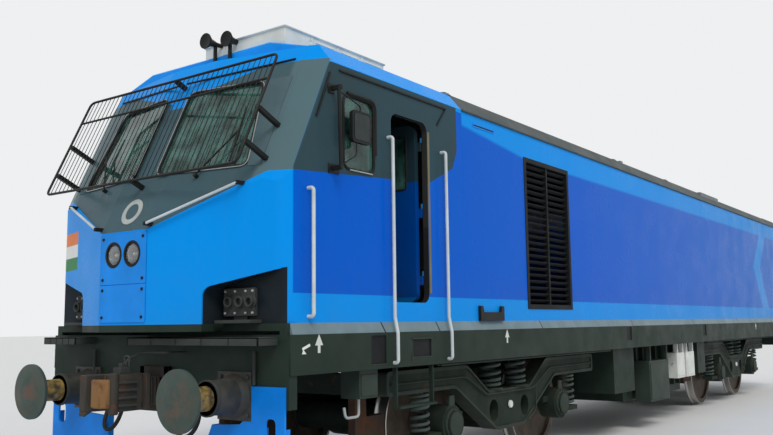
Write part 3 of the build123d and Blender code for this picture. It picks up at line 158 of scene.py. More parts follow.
class Paint:
    """A material under construction: its shader, the point being painted and short sums."""

    def __init__(self, name, roughness=0.5, metallic=0.0):
        finish[name] = self
        self.material = bpy.data.materials.new(name)
        self.material.use_nodes = True
        self.tree = self.material.node_tree
        self.shader = self.tree.nodes["Principled BSDF"]
        self.shader.inputs["Roughness"].default_value = roughness
        self.shader.inputs["Metallic"].default_value = metallic
        where = self.tree.nodes.new("ShaderNodeTexCoord")
        self.point = where.outputs["Object"]
        split = self.tree.nodes.new("ShaderNodeSeparateXYZ")
        self.join(self.point, split.inputs[0])
        self.x, self.y, self.z = split.outputs
        self.heights = []

    def join(self, value, socket):
        """Puts a number, a colour or another node's output into a socket."""
        if isinstance(value, bpy.types.NodeSocket):
            self.tree.links.new(value, socket)
        elif isinstance(value, (tuple, list)) and len(value) == 3 and socket.type == "RGBA":
            socket.default_value = (*value, 1)
        else:
            socket.default_value = value

    def sum(self, operation, *values):
        """One Math node."""
        node = self.tree.nodes.new("ShaderNodeMath")
        node.operation = operation
        for value, socket in zip(values, node.inputs):
            self.join(value, socket)
        return node.outputs[0]

    def above(self, value, edge, soft=0.002):
        """1 where the value is over the edge, 0 under it, with a soft line between."""
        node = self.tree.nodes.new("ShaderNodeMapRange")
        self.join(value, node.inputs["Value"])
        node.inputs["From Min"].default_value = edge - soft
        node.inputs["From Max"].default_value = edge + soft
        return node.outputs["Result"]

    def below(self, value, edge, soft=0.002):
        return self.sum("SUBTRACT", 1.0, self.above(value, edge, soft))

    def all_of(self, *masks):
        """Where every mask holds."""
        found = masks[0]
        for mask in masks[1:]:
            found = self.sum("MULTIPLY", found, mask)
        return found

    def any_of(self, *masks):
        """Where at least one mask holds."""
        found = masks[0]
        for mask in masks[1:]:
            found = self.sum("MAXIMUM", found, mask)
        return found

    def without(self, mask, hole):
        """A mask with another taken out of it."""
        return self.sum("MULTIPLY", mask, self.sum("SUBTRACT", 1.0, hole))

    def between(self, value, low, high, soft=0.002):
        return self.all_of(self.above(value, low, soft), self.below(value, high, soft))

    def line(self, x_factor, z_factor, constant):
        """A sum over the side view: x_factor * x + z_factor * z + constant."""
        across = self.sum("MULTIPLY_ADD", self.x, x_factor, constant)
        return self.sum("MULTIPLY_ADD", self.z, z_factor, across)

    def apart(self, one, other):
        """The distance that two steps at right angles make."""
        squares = self.sum("ADD", self.sum("MULTIPLY", one, one), self.sum("MULTIPLY", other, other))
        return self.sum("SQRT", squares)

    def noise(self, scale, detail=4.0, stretch=(1, 1, 1), rough=0.55):
        """Cloudy values from 0 to 1, in sizes of 1 / scale metres."""
        mapping = self.tree.nodes.new("ShaderNodeMapping")
        mapping.inputs["Scale"].default_value = stretch
        self.join(self.point, mapping.inputs["Vector"])
        node = self.tree.nodes.new("ShaderNodeTexNoise")
        node.inputs["Scale"].default_value = scale
        node.inputs["Detail"].default_value = detail
        node.inputs["Roughness"].default_value = rough
        self.join(mapping.outputs[0], node.inputs["Vector"])
        return node.outputs["Fac"]

    def scaled(self, value, low, high, to_low, to_high):
        """A value's range moved to another range."""
        node = self.tree.nodes.new("ShaderNodeMapRange")
        self.join(value, node.inputs["Value"])
        names = ("From Min", "From Max", "To Min", "To Max")
        for name, number in zip(names, (low, high, to_low, to_high)):
            node.inputs[name].default_value = number
        return node.outputs["Result"]

    def mix(self, mask, first, second):
        """The second colour where the mask is 1, the first where it is 0."""
        node = self.tree.nodes.new("ShaderNodeMix")
        node.data_type = "RGBA"
        self.join(mask, node.inputs["Factor"])
        self.join(first, node.inputs[6])
        self.join(second, node.inputs[7])
        return node.outputs[2]

    def facing(self):
        """The surface's direction, as three outputs."""
        geometry = self.tree.nodes.new("ShaderNodeNewGeometry")
        split = self.tree.nodes.new("ShaderNodeSeparateXYZ")
        self.join(geometry.outputs["True Normal"], split.inputs[0])
        return split.outputs

    def bump(self, height, distance, strength):
        """Adds fine relief, after any that is already there."""
        node = self.tree.nodes.new("ShaderNodeBump")
        node.inputs["Strength"].default_value = strength
        node.inputs["Distance"].default_value = distance
        self.join(height, node.inputs["Height"])
        if self.heights:
            self.join(self.heights[-1], node.inputs["Normal"])
        self.heights.append(node.outputs[0])
        self.join(node.outputs[0], self.shader.inputs["Normal"])

    def color(self, value):
        self.join(value, self.shader.inputs["Base Color"])

    def over(self, mask, color):
        """Lays a colour over the one that is already there."""
        ground = self.shader.inputs["Base Color"].links[0].from_socket
        self.color(self.mix(mask, ground, color))

    def rough(self, value):
        self.join(value, self.shader.inputs["Roughness"])

    def worn(self, low, high, scale=3.0):
        """Roughness that wanders between two values."""
        self.rough(self.scaled(self.noise(scale), 0.3, 0.7, low, high))


def dress(node_name, kind):
    """Gives a CAD node a finish."""
    slots = nodes[node_name].data.materials
    slots.clear()
    slots.append(finish[kind].material)


print("paint helper ready")

# %% [markdown]
# Gloss paint on a large vehicle is never one colour. Sheets are slightly wavy, dust settles
# low down and on ledges, and rain leaves faint upright streaks. Three noises at three sizes do
# that: a wide one for the waves, a stretched one for the streaks and a fine one for dust.

# %% Colours and weather
SIDE_BLUE = (0.000, 0.108, 0.615)
AZURE = (0.001, 0.290, 0.860)
SLATE = (0.034, 0.064, 0.074)
# the slate mask's tone on the front, painted light: lighter than the sides' SLATE
FRONT_SLATE_LIT = (0.060, 0.105, 0.120)
ROOF = (0.055, 0.070, 0.074)
FRAME_GREEN = (0.014, 0.026, 0.019)
BLACK = (0.010, 0.011, 0.011)
DUST = (0.11, 0.09, 0.07)
OFF_WHITE = (0.62, 0.64, 0.60)
LEDGE = (0.15, 0.215, 0.245)
RUST = (0.11, 0.045, 0.022)
FADED = (0.02, 0.30, 0.60)
GREEN_GLASS = (0.10, 0.26, 0.22)
DUST_LOW, DUST_HIGH = 1.7, 2.4              # all the dust lies below one height, none over the other
MOST_DUST = 0.08
GLOSS_SHINE, PLAIN_SHINE = 0.045, 0.15      # how strongly the two kinds of paint mirror the sky


def weather(paint, color):
    """Streaks, cloudy fading and dust that is thickest low down."""
    faded = paint.mix(paint.scaled(paint.noise(1.1), 0.3, 0.7, 0.0, 0.04), color, FADED)
    streaks = paint.scaled(paint.noise(9.0, 3, (1, 1, 0.06)), 0.52, 0.75, 0.0, 0.03)
    streaked = paint.mix(streaks, faded, DUST)
    height = paint.scaled(paint.z, DUST_HIGH, DUST_LOW, 0.0, MOST_DUST)
    patchy = paint.sum("MULTIPLY", height, paint.scaled(paint.noise(5.0, 6), 0.35, 0.65, 0.25, 1.0))
    return paint.mix(patchy, streaked, DUST)


def gloss(paint):
    """Sheet metal under gloss paint: slow waves, and a skin that varies a little."""
    paint.worn(0.22, 0.38, 2.2)
    paint.bump(paint.noise(1.6, 2), 0.02, 0.10)
    paint.bump(paint.noise(60, 2), 0.0004, 0.15)
    paint.shader.inputs["Specular IOR Level"].default_value = GLOSS_SHINE


print("livery", SIDE_BLUE, AZURE, SLATE)

# %% [markdown]
# The cab is one moulding in four colours. Light blue covers the nose, the brow and a stripe at
# the foot of the sides, darker blue the sides, and slate grey a mask round the windows. Each
# border is a straight line in the front or side view, so each colour is a product of steps.

# %% Cab paint
SIDE_START = -8.945          # where the nose's round corner meets the side
STRIPE_TOP = 1.925
BAND_LOW = 3.585
FOLD = 2.480                 # the crease over the nose's middle panel
FOLD_HALF = 0.312
FOLD_RISE = 0.420
FACET_TOP = 2.905            # where the light blue ends on the corner facet
CAB_MIDDLE = (-7.9, 0.0, 2.9)
# the slate mask's tone on the corner facets, painted light: lighter still than on the front
FACET_SLATE_LIT = (0.095, 0.158, 0.172)
# the cab's inward faces are painted near black, as painted shade inside the cab
LINING_SHADE_LOW, LINING_SHADE_HIGH = (0.022, 0.022, 0.020), (0.035, 0.036, 0.033)
SIDE_FACE = 1.505            # faces farther out than this are the cab's sides
SIDE_TOP = 3.87
FRONT_REAR = -8.4            # the front's mask ends here
PILLAR_HALF, PILLAR_TOP = 0.10, 3.66
BROW_SLOPE, BROW_FOOT, BROW_TOP = 0.29, 3.690, 3.945
MASK_BORDERS = ((0.07, -8.96, 2.90), (0.47, -6.84, 3.09), (2.20, -6.50, 3.25))   # rise, x and z
MASK_REAR, MASK_TOP = -6.41, 3.905
NOSE_FRONT, NOSE_SWEEP = -9.365, 0.341      # the nose's front at the fold, and how it sweeps back
RECESS_DEEP, RECESS_REAR, RECESS_SIDE = 0.012, -8.93, 0.79
RECESS_SLOPE, RECESS_TOP = 0.21, 1.817
LINING_EDGE = 2.6
FLAG_SIDES, FLAG_REAR = (1.02, 1.47), -8.80
FLAG = (
    (2.455, 2.575, (0.80, 0.20, 0.03)),
    (2.335, 2.455, (0.80, 0.80, 0.78)),
    (2.215, 2.335, (0.02, 0.22, 0.05)),
)


def widths(paint):
    """Distance from the centre line."""
    return paint.sum("ABSOLUTE", paint.y)


def outward(paint):
    """1 on the faces that look away from the cab's middle, 0 on its lining."""
    geometry = paint.tree.nodes.new("ShaderNodeNewGeometry")
    away = paint.tree.nodes.new("ShaderNodeVectorMath")
    away.operation = "SUBTRACT"
    paint.join(paint.point, away.inputs[0])
    away.inputs[1].default_value = CAB_MIDDLE
    dot = paint.tree.nodes.new("ShaderNodeVectorMath")
    dot.operation = "DOT_PRODUCT"
    paint.join(away.outputs[0], dot.inputs[0])
    paint.join(geometry.outputs["True Normal"], dot.inputs[1])
    return paint.above(dot.outputs["Value"], 0.05, 0.01)


def mask_on_side(paint):
    """The grey mask's outline in the side view: it lies over three slanted borders."""
    over = [paint.above(paint.line(-rise, 1, rise * x - z), 0) for rise, x, z in MASK_BORDERS]
    return paint.all_of(*over, paint.below(paint.x, MASK_REAR), paint.below(paint.z, MASK_TOP))


def cab_paint():
    paint = Paint("cab_paint")
    wide = widths(paint)
    on_side = paint.all_of(paint.above(wide, SIDE_FACE), paint.above(paint.x, SIDE_START))
    beyond = paint.sum("MAXIMUM", wide, FOLD_HALF)
    over_fold = paint.sum("MULTIPLY_ADD", beyond, -FOLD_RISE, FOLD_RISE * FOLD_HALF - FOLD)
    over_fold = paint.any_of(
        paint.above(paint.sum("ADD", paint.z, over_fold), 0), paint.above(paint.z, FACET_TOP),
    )
    leaning = paint.sum("MULTIPLY_ADD", wide, -BROW_SLOPE, paint.z)
    under_brow = paint.all_of(paint.below(leaning, BROW_FOOT), paint.below(paint.z, BROW_TOP))
    front_mask = paint.all_of(over_fold, under_brow, paint.below(paint.x, FRONT_REAR))
    pillar_top = paint.all_of(paint.below(wide, PILLAR_HALF), paint.above(paint.z, PILLAR_TOP))
    front_mask = paint.without(front_mask, pillar_top)
    blue = paint.all_of(on_side, paint.between(paint.z, STRIPE_TOP, SIDE_TOP))
    color = paint.mix(blue, AZURE, SIDE_BLUE)
    side_mask = paint.all_of(on_side, mask_on_side(paint))
    slate = paint.any_of(paint.without(front_mask, on_side), side_mask)
    # Painted light: the one slate mask is lighter on the front and lighter still on the corner facets than on
    # the sides.
    facet = paint.mix(paint.above(wide, 1.20, 0.02), FRONT_SLATE_LIT, FACET_SLATE_LIT)
    color = paint.mix(slate, color, paint.mix(on_side, facet, SLATE))
    # Painted shade: the cut-away corner recesses of the nose are painted black.
    behind_nose = paint.sum("MULTIPLY_ADD", beyond, -NOSE_SWEEP, NOSE_SWEEP * FOLD_HALF - NOSE_FRONT)
    ceiling = paint.sum("MULTIPLY_ADD", wide, -RECESS_SLOPE, paint.z)
    shaded_recess = paint.all_of(
        paint.above(paint.sum("ADD", paint.x, behind_nose), RECESS_DEEP),
        paint.below(paint.x, RECESS_REAR), paint.above(wide, RECESS_SIDE), paint.below(ceiling, RECESS_TOP),
    )
    color = paint.mix(shaded_recess, color, BLACK)
    near_flag = paint.all_of(paint.between(paint.y, *FLAG_SIDES), paint.below(paint.x, FLAG_REAR))
    for low, high, stripe in FLAG:
        color = paint.mix(paint.all_of(near_flag, paint.between(paint.z, low, high)), color, stripe)
    # Painted shade: the inward faces are near black, as shade inside the cab, and a little less dark above
    # LINING_EDGE.
    lining = paint.mix(paint.above(paint.z, LINING_EDGE), LINING_SHADE_LOW, LINING_SHADE_HIGH)
    paint.color(paint.mix(outward(paint), lining, weather(paint, color)))
    gloss(paint)


cab_paint()
dress("cab_shell", "cab_paint")
dress("nose_panel", "cab_paint")
print("cab painted")

# %% [markdown]
# Behind the cab the side is a row of flat sheets: darker blue, with the light stripe along its
# foot, a light band under the roof and a wide arrowhead near the rear. The sheets meet in thin
# joints. A groove in the bump is enough for those, because a real joint is filled and painted.

# %% Side paint
ARROW_POINT = (6.427, 2.845)
ARROW_TOP = (7.121, 3.598)
ARROW_FOOT = (7.050, 1.955)
ARROW_WIDE = 0.60
BAND_SLOPE, BAND_EDGE = 0.10, 3.115         # the light band narrows towards the rear
# the side's colour is made darker towards the rear, from this station on
REAR_DARKEN_START, REAR_DARKEN_MOST = -3.0, 0.45
REAR_DARK_BLUE = (0.002, 0.150, 0.380)
SHEET_JOINTS = (-6.3, -4.95, -3.6, -1.5, 0.9, 3.3, 5.7, 8.1)
JOINT_HALF = 0.003


def slanted(paint, low, high, wide):
    """A slanted band between two points of the side view, measured level."""
    slope = (high[0] - low[0]) / (high[1] - low[1])
    offset = paint.line(1, -slope, -low[0] + slope * low[1])
    return paint.below(paint.sum("ABSOLUTE", offset), wide / 2, 0.01)


def livery(paint):
    """Darker blue with its light band, stripe and arrowhead."""
    leaning = paint.line(BAND_SLOPE, 1, 0)
    band = paint.all_of(paint.above(paint.z, BAND_LOW, 0.02), paint.above(leaning, BAND_EDGE, 0.02))
    stripe = paint.below(paint.z, STRIPE_TOP)
    upper = paint.all_of(
        slanted(paint, ARROW_POINT, ARROW_TOP, ARROW_WIDE), paint.above(paint.z, ARROW_POINT[1]),
    )
    lower = paint.all_of(
        slanted(paint, ARROW_FOOT, ARROW_POINT, ARROW_WIDE), paint.below(paint.z, ARROW_POINT[1]),
    )
    color = paint.mix(paint.any_of(band, stripe, upper, lower), SIDE_BLUE, AZURE)
    # The whole side colour turns darker towards the rear.
    rear_darkening = paint.scaled(paint.x, REAR_DARKEN_START, HALF_LENGTH, 0.0, REAR_DARKEN_MOST)
    return paint.mix(rear_darkening, color, REAR_DARK_BLUE)


side_paint = Paint("side_paint")
side_paint.color(weather(side_paint, livery(side_paint)))
gloss(side_paint)
joints = side_paint.any_of(*[
    side_paint.between(side_paint.x, x - JOINT_HALF, x + JOINT_HALF, 0.001) for x in SHEET_JOINTS
])
side_paint.bump(side_paint.sum("SUBTRACT", 1.0, joints), 0.004, 0.6)
for name in ("body_sides", "rear_wall", "door_rear"):
    dress(name, "side_paint")
print("sides painted, joints", len(SHEET_JOINTS))

# %% [markdown]
# The cab doors repeat the borders of the mask and of the stripe by height alone, so the door
# that stands open has the same borders as the one that is shut. Its inner face, which lies in
# the cab's shade, is painted darker.

# %% Door paint
DOOR_MASK_FOOT = 3.055


def door_paint(node_name, name, shade):
    """The side's colours by height, all dimmed by one factor."""
    paint = Paint(name)
    blue, light, slate = [
        tuple(shade * channel for channel in color) for color in (SIDE_BLUE, AZURE, SLATE)
    ]
    color = paint.mix(paint.above(paint.z, DOOR_MASK_FOOT), blue, slate)
    paint.color(weather(paint, paint.mix(paint.below(paint.z, STRIPE_TOP), color, light)))
    gloss(paint)
    dress(node_name, name)


door_paint("door_left", "open_door_paint", 0.45)
door_paint("door_right", "shut_door_paint", 1.0)

# %% [markdown]
# Simple parts share one recipe: a ground colour, cloudy variation, dust where the surface
# looks up, and rust in patches. One table of finishes, each with the CAD nodes that wear it,
# then stands for the many materials that a real paint shop would keep on one shelf.

# %% A recipe for plain parts
def plain(name, color, rough=(0.45, 0.65), dust=0.3, rust=0.0, metallic=0.0, grain=30.0, relief=0.001):
    """One ground colour with cloudy variation, dust on top and patches of rust."""
    paint = Paint(name, metallic=metallic)
    light = tuple(min(channel * 1.35 + 0.003, 1) for channel in color)
    ground = paint.mix(paint.scaled(paint.noise(4.0, 5), 0.3, 0.7, 0, 0.8), color, light)
    if rust:
        patches = paint.scaled(paint.noise(7.0, 8, rough=0.7), 0.62 - 0.3 * rust, 0.72 - 0.2 * rust, 0, 1)
        ground = paint.mix(patches, ground, RUST)
    up_facing = paint.above(paint.facing()[2], 0.5, 0.3)
    cloud = paint.scaled(paint.noise(11.0, 6), 0.35, 0.7, 0.15, 1.0)
    settled = paint.sum("MULTIPLY", paint.sum("MULTIPLY_ADD", up_facing, 0.75, 0.25), cloud)
    paint.color(paint.mix(paint.sum("MULTIPLY", settled, dust), ground, DUST))
    paint.worn(*rough)
    paint.bump(paint.noise(grain, 4), relief, 0.5)
    paint.shader.inputs["Specular IOR Level"].default_value = PLAIN_SHINE


SHELF = {
    "frame_green": (FRAME_GREEN, dict(dust=0.10), "transformer cab_steps underfloor_boxes"),
    "bogie_dust": (
        (0.012, 0.021, 0.015), dict(rough=(0.55, 0.8), dust=0.20, rust=0.08),
        "bogie_frame_front bogie_frame_rear axleboxes_front axleboxes_rear motors_front motors_rear "
        "air_reservoirs",
    ),
    "bogie_edge": ((0.024, 0.036, 0.028), dict(rough=(0.5, 0.75), dust=0.25, rust=0.08), ""),
    "brake_iron": (
        (0.05, 0.035, 0.028), dict(rough=(0.7, 0.9), dust=0.4, rust=0.5), "brakes_front brakes_rear",
    ),
    "spring_paint": ((0.050, 0.070, 0.062), dict(rough=(0.4, 0.6), dust=0.2), "springs_front springs_rear"),
    "ledge_grey": (LEDGE, dict(rough=(0.4, 0.55), dust=0.35), "sill_ledges"),
    "black_metal": (
        BLACK, dict(rough=(0.38, 0.55), dust=0.10), "windscreen_guards wipers mirrors lifting_brackets horns",
    ),
    "grille_black": ((0.008, 0.009, 0.010), dict(rough=(0.5, 0.7), dust=0.06), "side_grilles"),
    "rubber": ((0.012, 0.012, 0.012), dict(rough=(0.55, 0.75), dust=0.15), ""),
    "pale_trim": ((0.36, 0.39, 0.38), dict(rough=(0.4, 0.6)), ""),
    "white_paint": ((0.66, 0.68, 0.66), dict(rough=(0.35, 0.5), dust=0.25), ""),
    "rail_paint": ((0.52, 0.57, 0.58), dict(rough=(0.3, 0.45), dust=0.2), "handrails"),
    "roof_grey": (ROOF, dict(rough=(0.5, 0.7)), "roof_hatches"),
    "roof_pale": ((0.17, 0.19, 0.19), dict(rough=(0.5, 0.7), dust=0.35), ""),
    "off_white": (OFF_WHITE, dict(rough=(0.4, 0.6), dust=0.25, rust=0.05), "aircon_unit"),
    "box_green": ((0.024, 0.038, 0.030), dict(rough=(0.45, 0.6), dust=0.25), "jumper_boxes"),
    "panto_red": (
        (0.16, 0.035, 0.025), dict(dust=0.25, rust=0.2),
        "pantograph_frame pantograph_lower_arm pantograph_upper_arm pantograph_collector "
        "pantograph_guide_rod",
    ),
    "desk_grey": ((0.10, 0.105, 0.11), dict(dust=0.1, grain=400, relief=0.0003), "driver_desk cab_bulkhead"),
    "seat_cloth": ((0.02, 0.024, 0.03), dict(rough=(0.85, 0.95), dust=0.1, grain=700), "driver_seats"),
    "bellows": ((0.018, 0.018, 0.018), dict(rough=(0.7, 0.85)), "gangway air_hoses"),
    "cast_steel": (
        (0.040, 0.036, 0.031), dict(rough=(0.6, 0.85), dust=0.2, rust=0.2), "coupler_head rear_drawbar",
    ),
    "knuckle_tan": ((0.20, 0.105, 0.04), dict(rough=(0.5, 0.8), rust=0.25), "coupler_knuckle"),
    "porcelain": ((0.16, 0.045, 0.025), dict(rough=(0.15, 0.3), dust=0.2), "roof_insulators"),
    "copper": ((0.35, 0.17, 0.09), dict(rough=(0.4, 0.6), dust=0.2, metallic=0.8), "roof_busbar"),
    "plough_blue": ((0.001, 0.185, 0.66), dict(rough=(0.3, 0.5), dust=0.06), "rail_guard"),
    "azure_plain": ((0.001, 0.215, 0.70), dict(rough=(0.25, 0.4), dust=0.04), ""),
    "azure_brow": (AZURE, dict(rough=(0.25, 0.4), dust=0.04), ""),
    "socket_grey": ((0.035, 0.042, 0.040), dict(rough=(0.5, 0.7), dust=0.4), ""),
    # the pane borders wear the front's painted-light slate tone
    "border_grey": (FRONT_SLATE_LIT, dict(rough=(0.3, 0.45), dust=0.05), ""),
    "jamb_tan": ((0.16, 0.15, 0.09), dict(dust=0.2), ""),
    "sill_paint": (FRAME_GREEN, dict(dust=0.08), "underframe"),
}
for kind, (color, options, names) in SHELF.items():
    plain(kind, color, **options)
    for name in names.split():
        dress(name, kind)
print("finishes", len(SHELF))

# %% [markdown]
# The sill is dark green and carries white arrows where a jack or a crane may take hold. Above
# it runs a light ledge in lengths, with a dark seam between two of them. On the real vehicle
# both are stencilled or welded. Here a few steps over the side view draw them.

# %% Sill and ledge
JACKING = (-8.646, -5.505, 5.790)
JACK_TIP, JACK_SLOPE = 1.600, 0.55
JACK_HEAD, JACK_STEM, STEM_HALF = 1.512, (1.452, 1.515), 0.016
SILL_FACE = 1.548
ARROW_WHITE = (0.62, 0.66, 0.62)
SEAM_LEAN, SEAM_HEIGHT = 0.35, 1.62
LEDGE_SEAMS = (-7.74, -6.85, -4.6, -1.6, 1.4, 4.4, 7.4)
SEAM_HALF = 0.009


def jack_arrow(paint, x):
    """An upward arrow on the sill's face: a triangle over a short stem."""
    aside = paint.sum("ABSOLUTE", paint.sum("SUBTRACT", paint.x, x))
    slope = paint.below(paint.sum("MULTIPLY_ADD", paint.z, JACK_SLOPE, aside), JACK_SLOPE * JACK_TIP)
    head = paint.all_of(slope, paint.above(paint.z, JACK_HEAD))
    stem = paint.all_of(paint.below(aside, STEM_HALF), paint.between(paint.z, *JACK_STEM))
    return paint.any_of(head, stem)


sill = finish["sill_paint"]
arrows = sill.any_of(*[jack_arrow(sill, x) for x in JACKING])
sill.over(sill.all_of(sill.above(widths(sill), SILL_FACE), arrows), ARROW_WHITE)
ledge = finish["ledge_grey"]
leaning = ledge.line(1, SEAM_LEAN, -SEAM_LEAN * SEAM_HEIGHT)
ledge.over(ledge.any_of(*[ledge.between(leaning, x - SEAM_HALF, x + SEAM_HALF) for x in LEDGE_SEAMS]), BLACK)
print("arrows", len(JACKING), "ledge seams", len(LEDGE_SEAMS))

# %% [markdown]
# A buffer shows three finishes along its length: a painted disc, worn bare and rusty where it
# meets its neighbour, a greased plunger, and a dark casing. All three follow the station.

# %% Buffer finish
BUFFER_Y, BUFFER_HEIGHT = 0.978, 1.090
DISC_REAR, PLUNGER_REAR = -9.535, -9.30


def buffer_paint():
    paint = Paint("buffer_paint")
    rusty = paint.scaled(paint.noise(9, 8, rough=0.7), 0.45, 0.6, 0, 1)
    aside = paint.sum("SUBTRACT", widths(paint), BUFFER_Y)
    middle = paint.apart(aside, paint.sum("SUBTRACT", paint.z, BUFFER_HEIGHT + FLANGE))
    rusty = paint.sum("MULTIPLY", rusty, paint.scaled(middle, 0.05, 0.20, 1.0, 0.25))
    disc = paint.mix(rusty, (0.030, 0.056, 0.046), (0.10, 0.055, 0.035))
    greasy = paint.scaled(paint.noise(14, 6), 0.4, 0.6, 0, 1)
    grease = paint.mix(greasy, (0.30, 0.20, 0.05), (0.05, 0.04, 0.025))
    casing = paint.mix(paint.scaled(paint.noise(6, 6), 0.4, 0.7, 0, 0.5), (0.02, 0.024, 0.022), DUST)
    color = paint.mix(paint.above(paint.x, DISC_REAR), disc, grease)
    paint.color(paint.mix(paint.above(paint.x, PLUNGER_REAR), color, casing))
    paint.worn(0.45, 0.75)
    paint.bump(paint.noise(45, 5), 0.002, 0.6)


buffer_paint()
dress("buffers", "buffer_paint")

# %% [markdown]
# Safety glass is thick and slightly green. Light passes through it, so what stands behind it
# shows. The headlamps are clear glass over a bright bowl.

# %% Glass
def glass(name, tint):
    paint = Paint(name, 0.02)
    paint.color(tint)
    paint.shader.inputs["Transmission Weight"].default_value = 0.9
    paint.shader.inputs["IOR"].default_value = 1.45
    paint.bump(paint.noise(3.0, 2), 0.004, 0.05)
    return paint


tinted = glass("tinted_glass", GREEN_GLASS)
cloudy = tinted.scaled(tinted.noise(5.0, 6), 0.4, 0.62, 0, 1)
tinted.color(tinted.mix(cloudy, (0.02, 0.08, 0.065), (0.13, 0.34, 0.29)))
tinted.shader.inputs["Transmission Weight"].default_value = 0.6
glass("lamp_glass", (0.9, 0.93, 0.95))
for name, kind in (
    ("windscreens", "tinted_glass"), ("side_windows", "tinted_glass"), ("headlamps", "lamp_glass"),
):
    dress(name, kind)

# %% [markdown]
# A wheel is brown with rust and brake dust, and bright only where it rolls on the rail. The
# distance from its own axle tells the two apart, so each wheelset gets the same recipe with
# its own axle's place.

# %% Wheel steel
AXLES = (-6.3, -3.7, 3.7, 6.3)
AXLE_HEIGHT = 0.655
TREAD_RADIUS = 0.612


def wheel_paint(name, x):
    paint = Paint(name)
    radius = paint.apart(paint.sum("SUBTRACT", paint.x, x), paint.sum("SUBTRACT", paint.z, AXLE_HEIGHT))
    patchy = paint.scaled(paint.noise(8, 6), 0.35, 0.65, 0, 1)
    brown = paint.mix(patchy, (0.04, 0.032, 0.025), (0.09, 0.06, 0.04))
    tread = paint.above(radius, TREAD_RADIUS)
    paint.color(paint.mix(tread, brown, (0.45, 0.44, 0.42)))
    paint.join(tread, paint.shader.inputs["Metallic"])
    paint.rough(paint.scaled(tread, 0, 1, 0.75, 0.3))
    paint.bump(paint.noise(40, 4), 0.0015, 0.4)


for number, x in enumerate(AXLES, start=1):
    wheel_paint(f"wheel_steel_{number}", x)
    dress(f"wheelset_{number}", f"wheel_steel_{number}")
print("wheelsets", len(AXLES))

# %% [markdown]
# The small pieces that CAD leaves out are built here from three moves: a flat outline pushed
# along a line, a profile turned about an axis, and a round bar along a path. Most fittings of
# a locomotive are made in just these ways, by cutting plate, turning and bending tube. The far
# side repeats the near one, so the helpers that say pair build a form on both sides at once.
# A piece's slot follows from its finish.

# %% Helpers that build pieces
SIDES = (-1, 1)
HANDS = ((-1, "left"), (1, "right"))
ALONG, ACROSS, UPRIGHT = (1, 0, 0), (0, -1, 0), (0, 0, 1)
BEND_STEPS, RING_STEPS = 5, 36              # how finely a round corner and a circle are drawn


def settle(piece, kind, body, replaces):
    """Hangs a finished piece on its body, with its finish and the node it stands for."""
    piece.data.materials.append(finish[kind].material)
    scene.collection.objects.link(piece)
    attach(piece, body)
    if replaces:
        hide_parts(replaces)
    return piece


class Form:
    """A piece under construction, in stations, side distances and heights, in metres."""

    def __init__(self):
        self.solid = bmesh.new()

    def loft(self, first, second):
        """A solid between two outlines of the frame with as many points each."""
        first, second = [[self.solid.verts.new(point) for point in outline] for outline in (first, second)]
        self.solid.faces.new(first)
        self.solid.faces.new(second[::-1])
        for index in range(len(first)):
            after = (index + 1) % len(first)
            self.solid.faces.new((first[index], second[index], second[after], first[after]))

    def prism(self, outline, shift):
        """A flat outline of points, pushed along a shift."""
        first = [place(*point) for point in outline]
        self.loft(first, [point + Vector(shift) for point in first])

    def prism_pair(self, outline, y, out):
        """On both sides, an outline of stations and heights, pushed outward from y."""
        for side in SIDES:
            self.prism([(x, side * y, z) for x, z in outline], (0, side * out, 0))

    def box(self, stations, sides, heights):
        """A block between two stations, two side distances and two heights."""
        (x0, x1), (z0, z1) = stations, heights
        y0, y1 = sorted(sides)
        self.prism([(x0, y0, z0), (x1, y0, z0), (x1, y0, z1), (x0, y0, z1)], (0, y1 - y0, 0))

    def box_pair(self, *rows):
        """On both sides, a block for each row of stations, side distances and heights."""
        for side in SIDES:
            for stations, (inner, outer), heights in rows:
                self.box(stations, (side * inner, side * outer), heights)

    def turned(self, profile, centre, axis, steps=24):
        """A closed profile of (radius, distance) points, turned about an axis."""
        axis = Vector(axis).normalized()
        one = axis.orthogonal().normalized()
        two = axis.cross(one)
        centre = place(*centre)
        rings = []
        for radius, along in profile:
            middle = centre + axis * along
            angles = [2 * math.pi * step / steps for step in range(steps if radius else 1)]
            rings.append([
                self.solid.verts.new(middle + radius * (math.cos(angle) * one + math.sin(angle) * two))
                for angle in angles
            ])
        pairs = list(zip(rings, rings[1:]))
        if len(rings[0]) > 1:
            pairs.append((rings[-1], rings[0]))
        for low, high in pairs:
            if len(low) == len(high) == 1:
                continue
            for step in range(steps):
                after = (step + 1) % steps
                corners = [low[step % len(low)], low[after % len(low)]]
                corners += [high[after % len(high)], high[step % len(high)]]
                self.solid.faces.new(list(dict.fromkeys(corners)))

    def turned_pair(self, profile, centre, axis, steps):
        """The same on both sides, where an axis that leads outward does so on each."""
        for side in SIDES:
            self.turned(
                profile, (centre[0], side * centre[1], centre[2]), (axis[0], side * axis[1], axis[2]), steps,
            )

    def done(self, name, kind, body="carbody", slot=None, bevel=0.003, replaces=None):
        """The finished piece, with its edges eased."""
        bmesh.ops.recalc_face_normals(self.solid, faces=self.solid.faces)
        mesh = bpy.data.meshes.new(name)
        self.solid.to_mesh(mesh)
        self.solid.free()
        mesh.shade_smooth()
        mesh.set_sharp_from_angle(angle=math.radians(35))
        piece = bpy.data.objects.new(name, mesh)
        if bevel:
            ease = piece.modifiers.new("ease", "BEVEL")
            ease.width = bevel
            ease.segments = 1
            ease.angle_limit = math.radians(40)
        return settle(piece, kind, body, replaces)


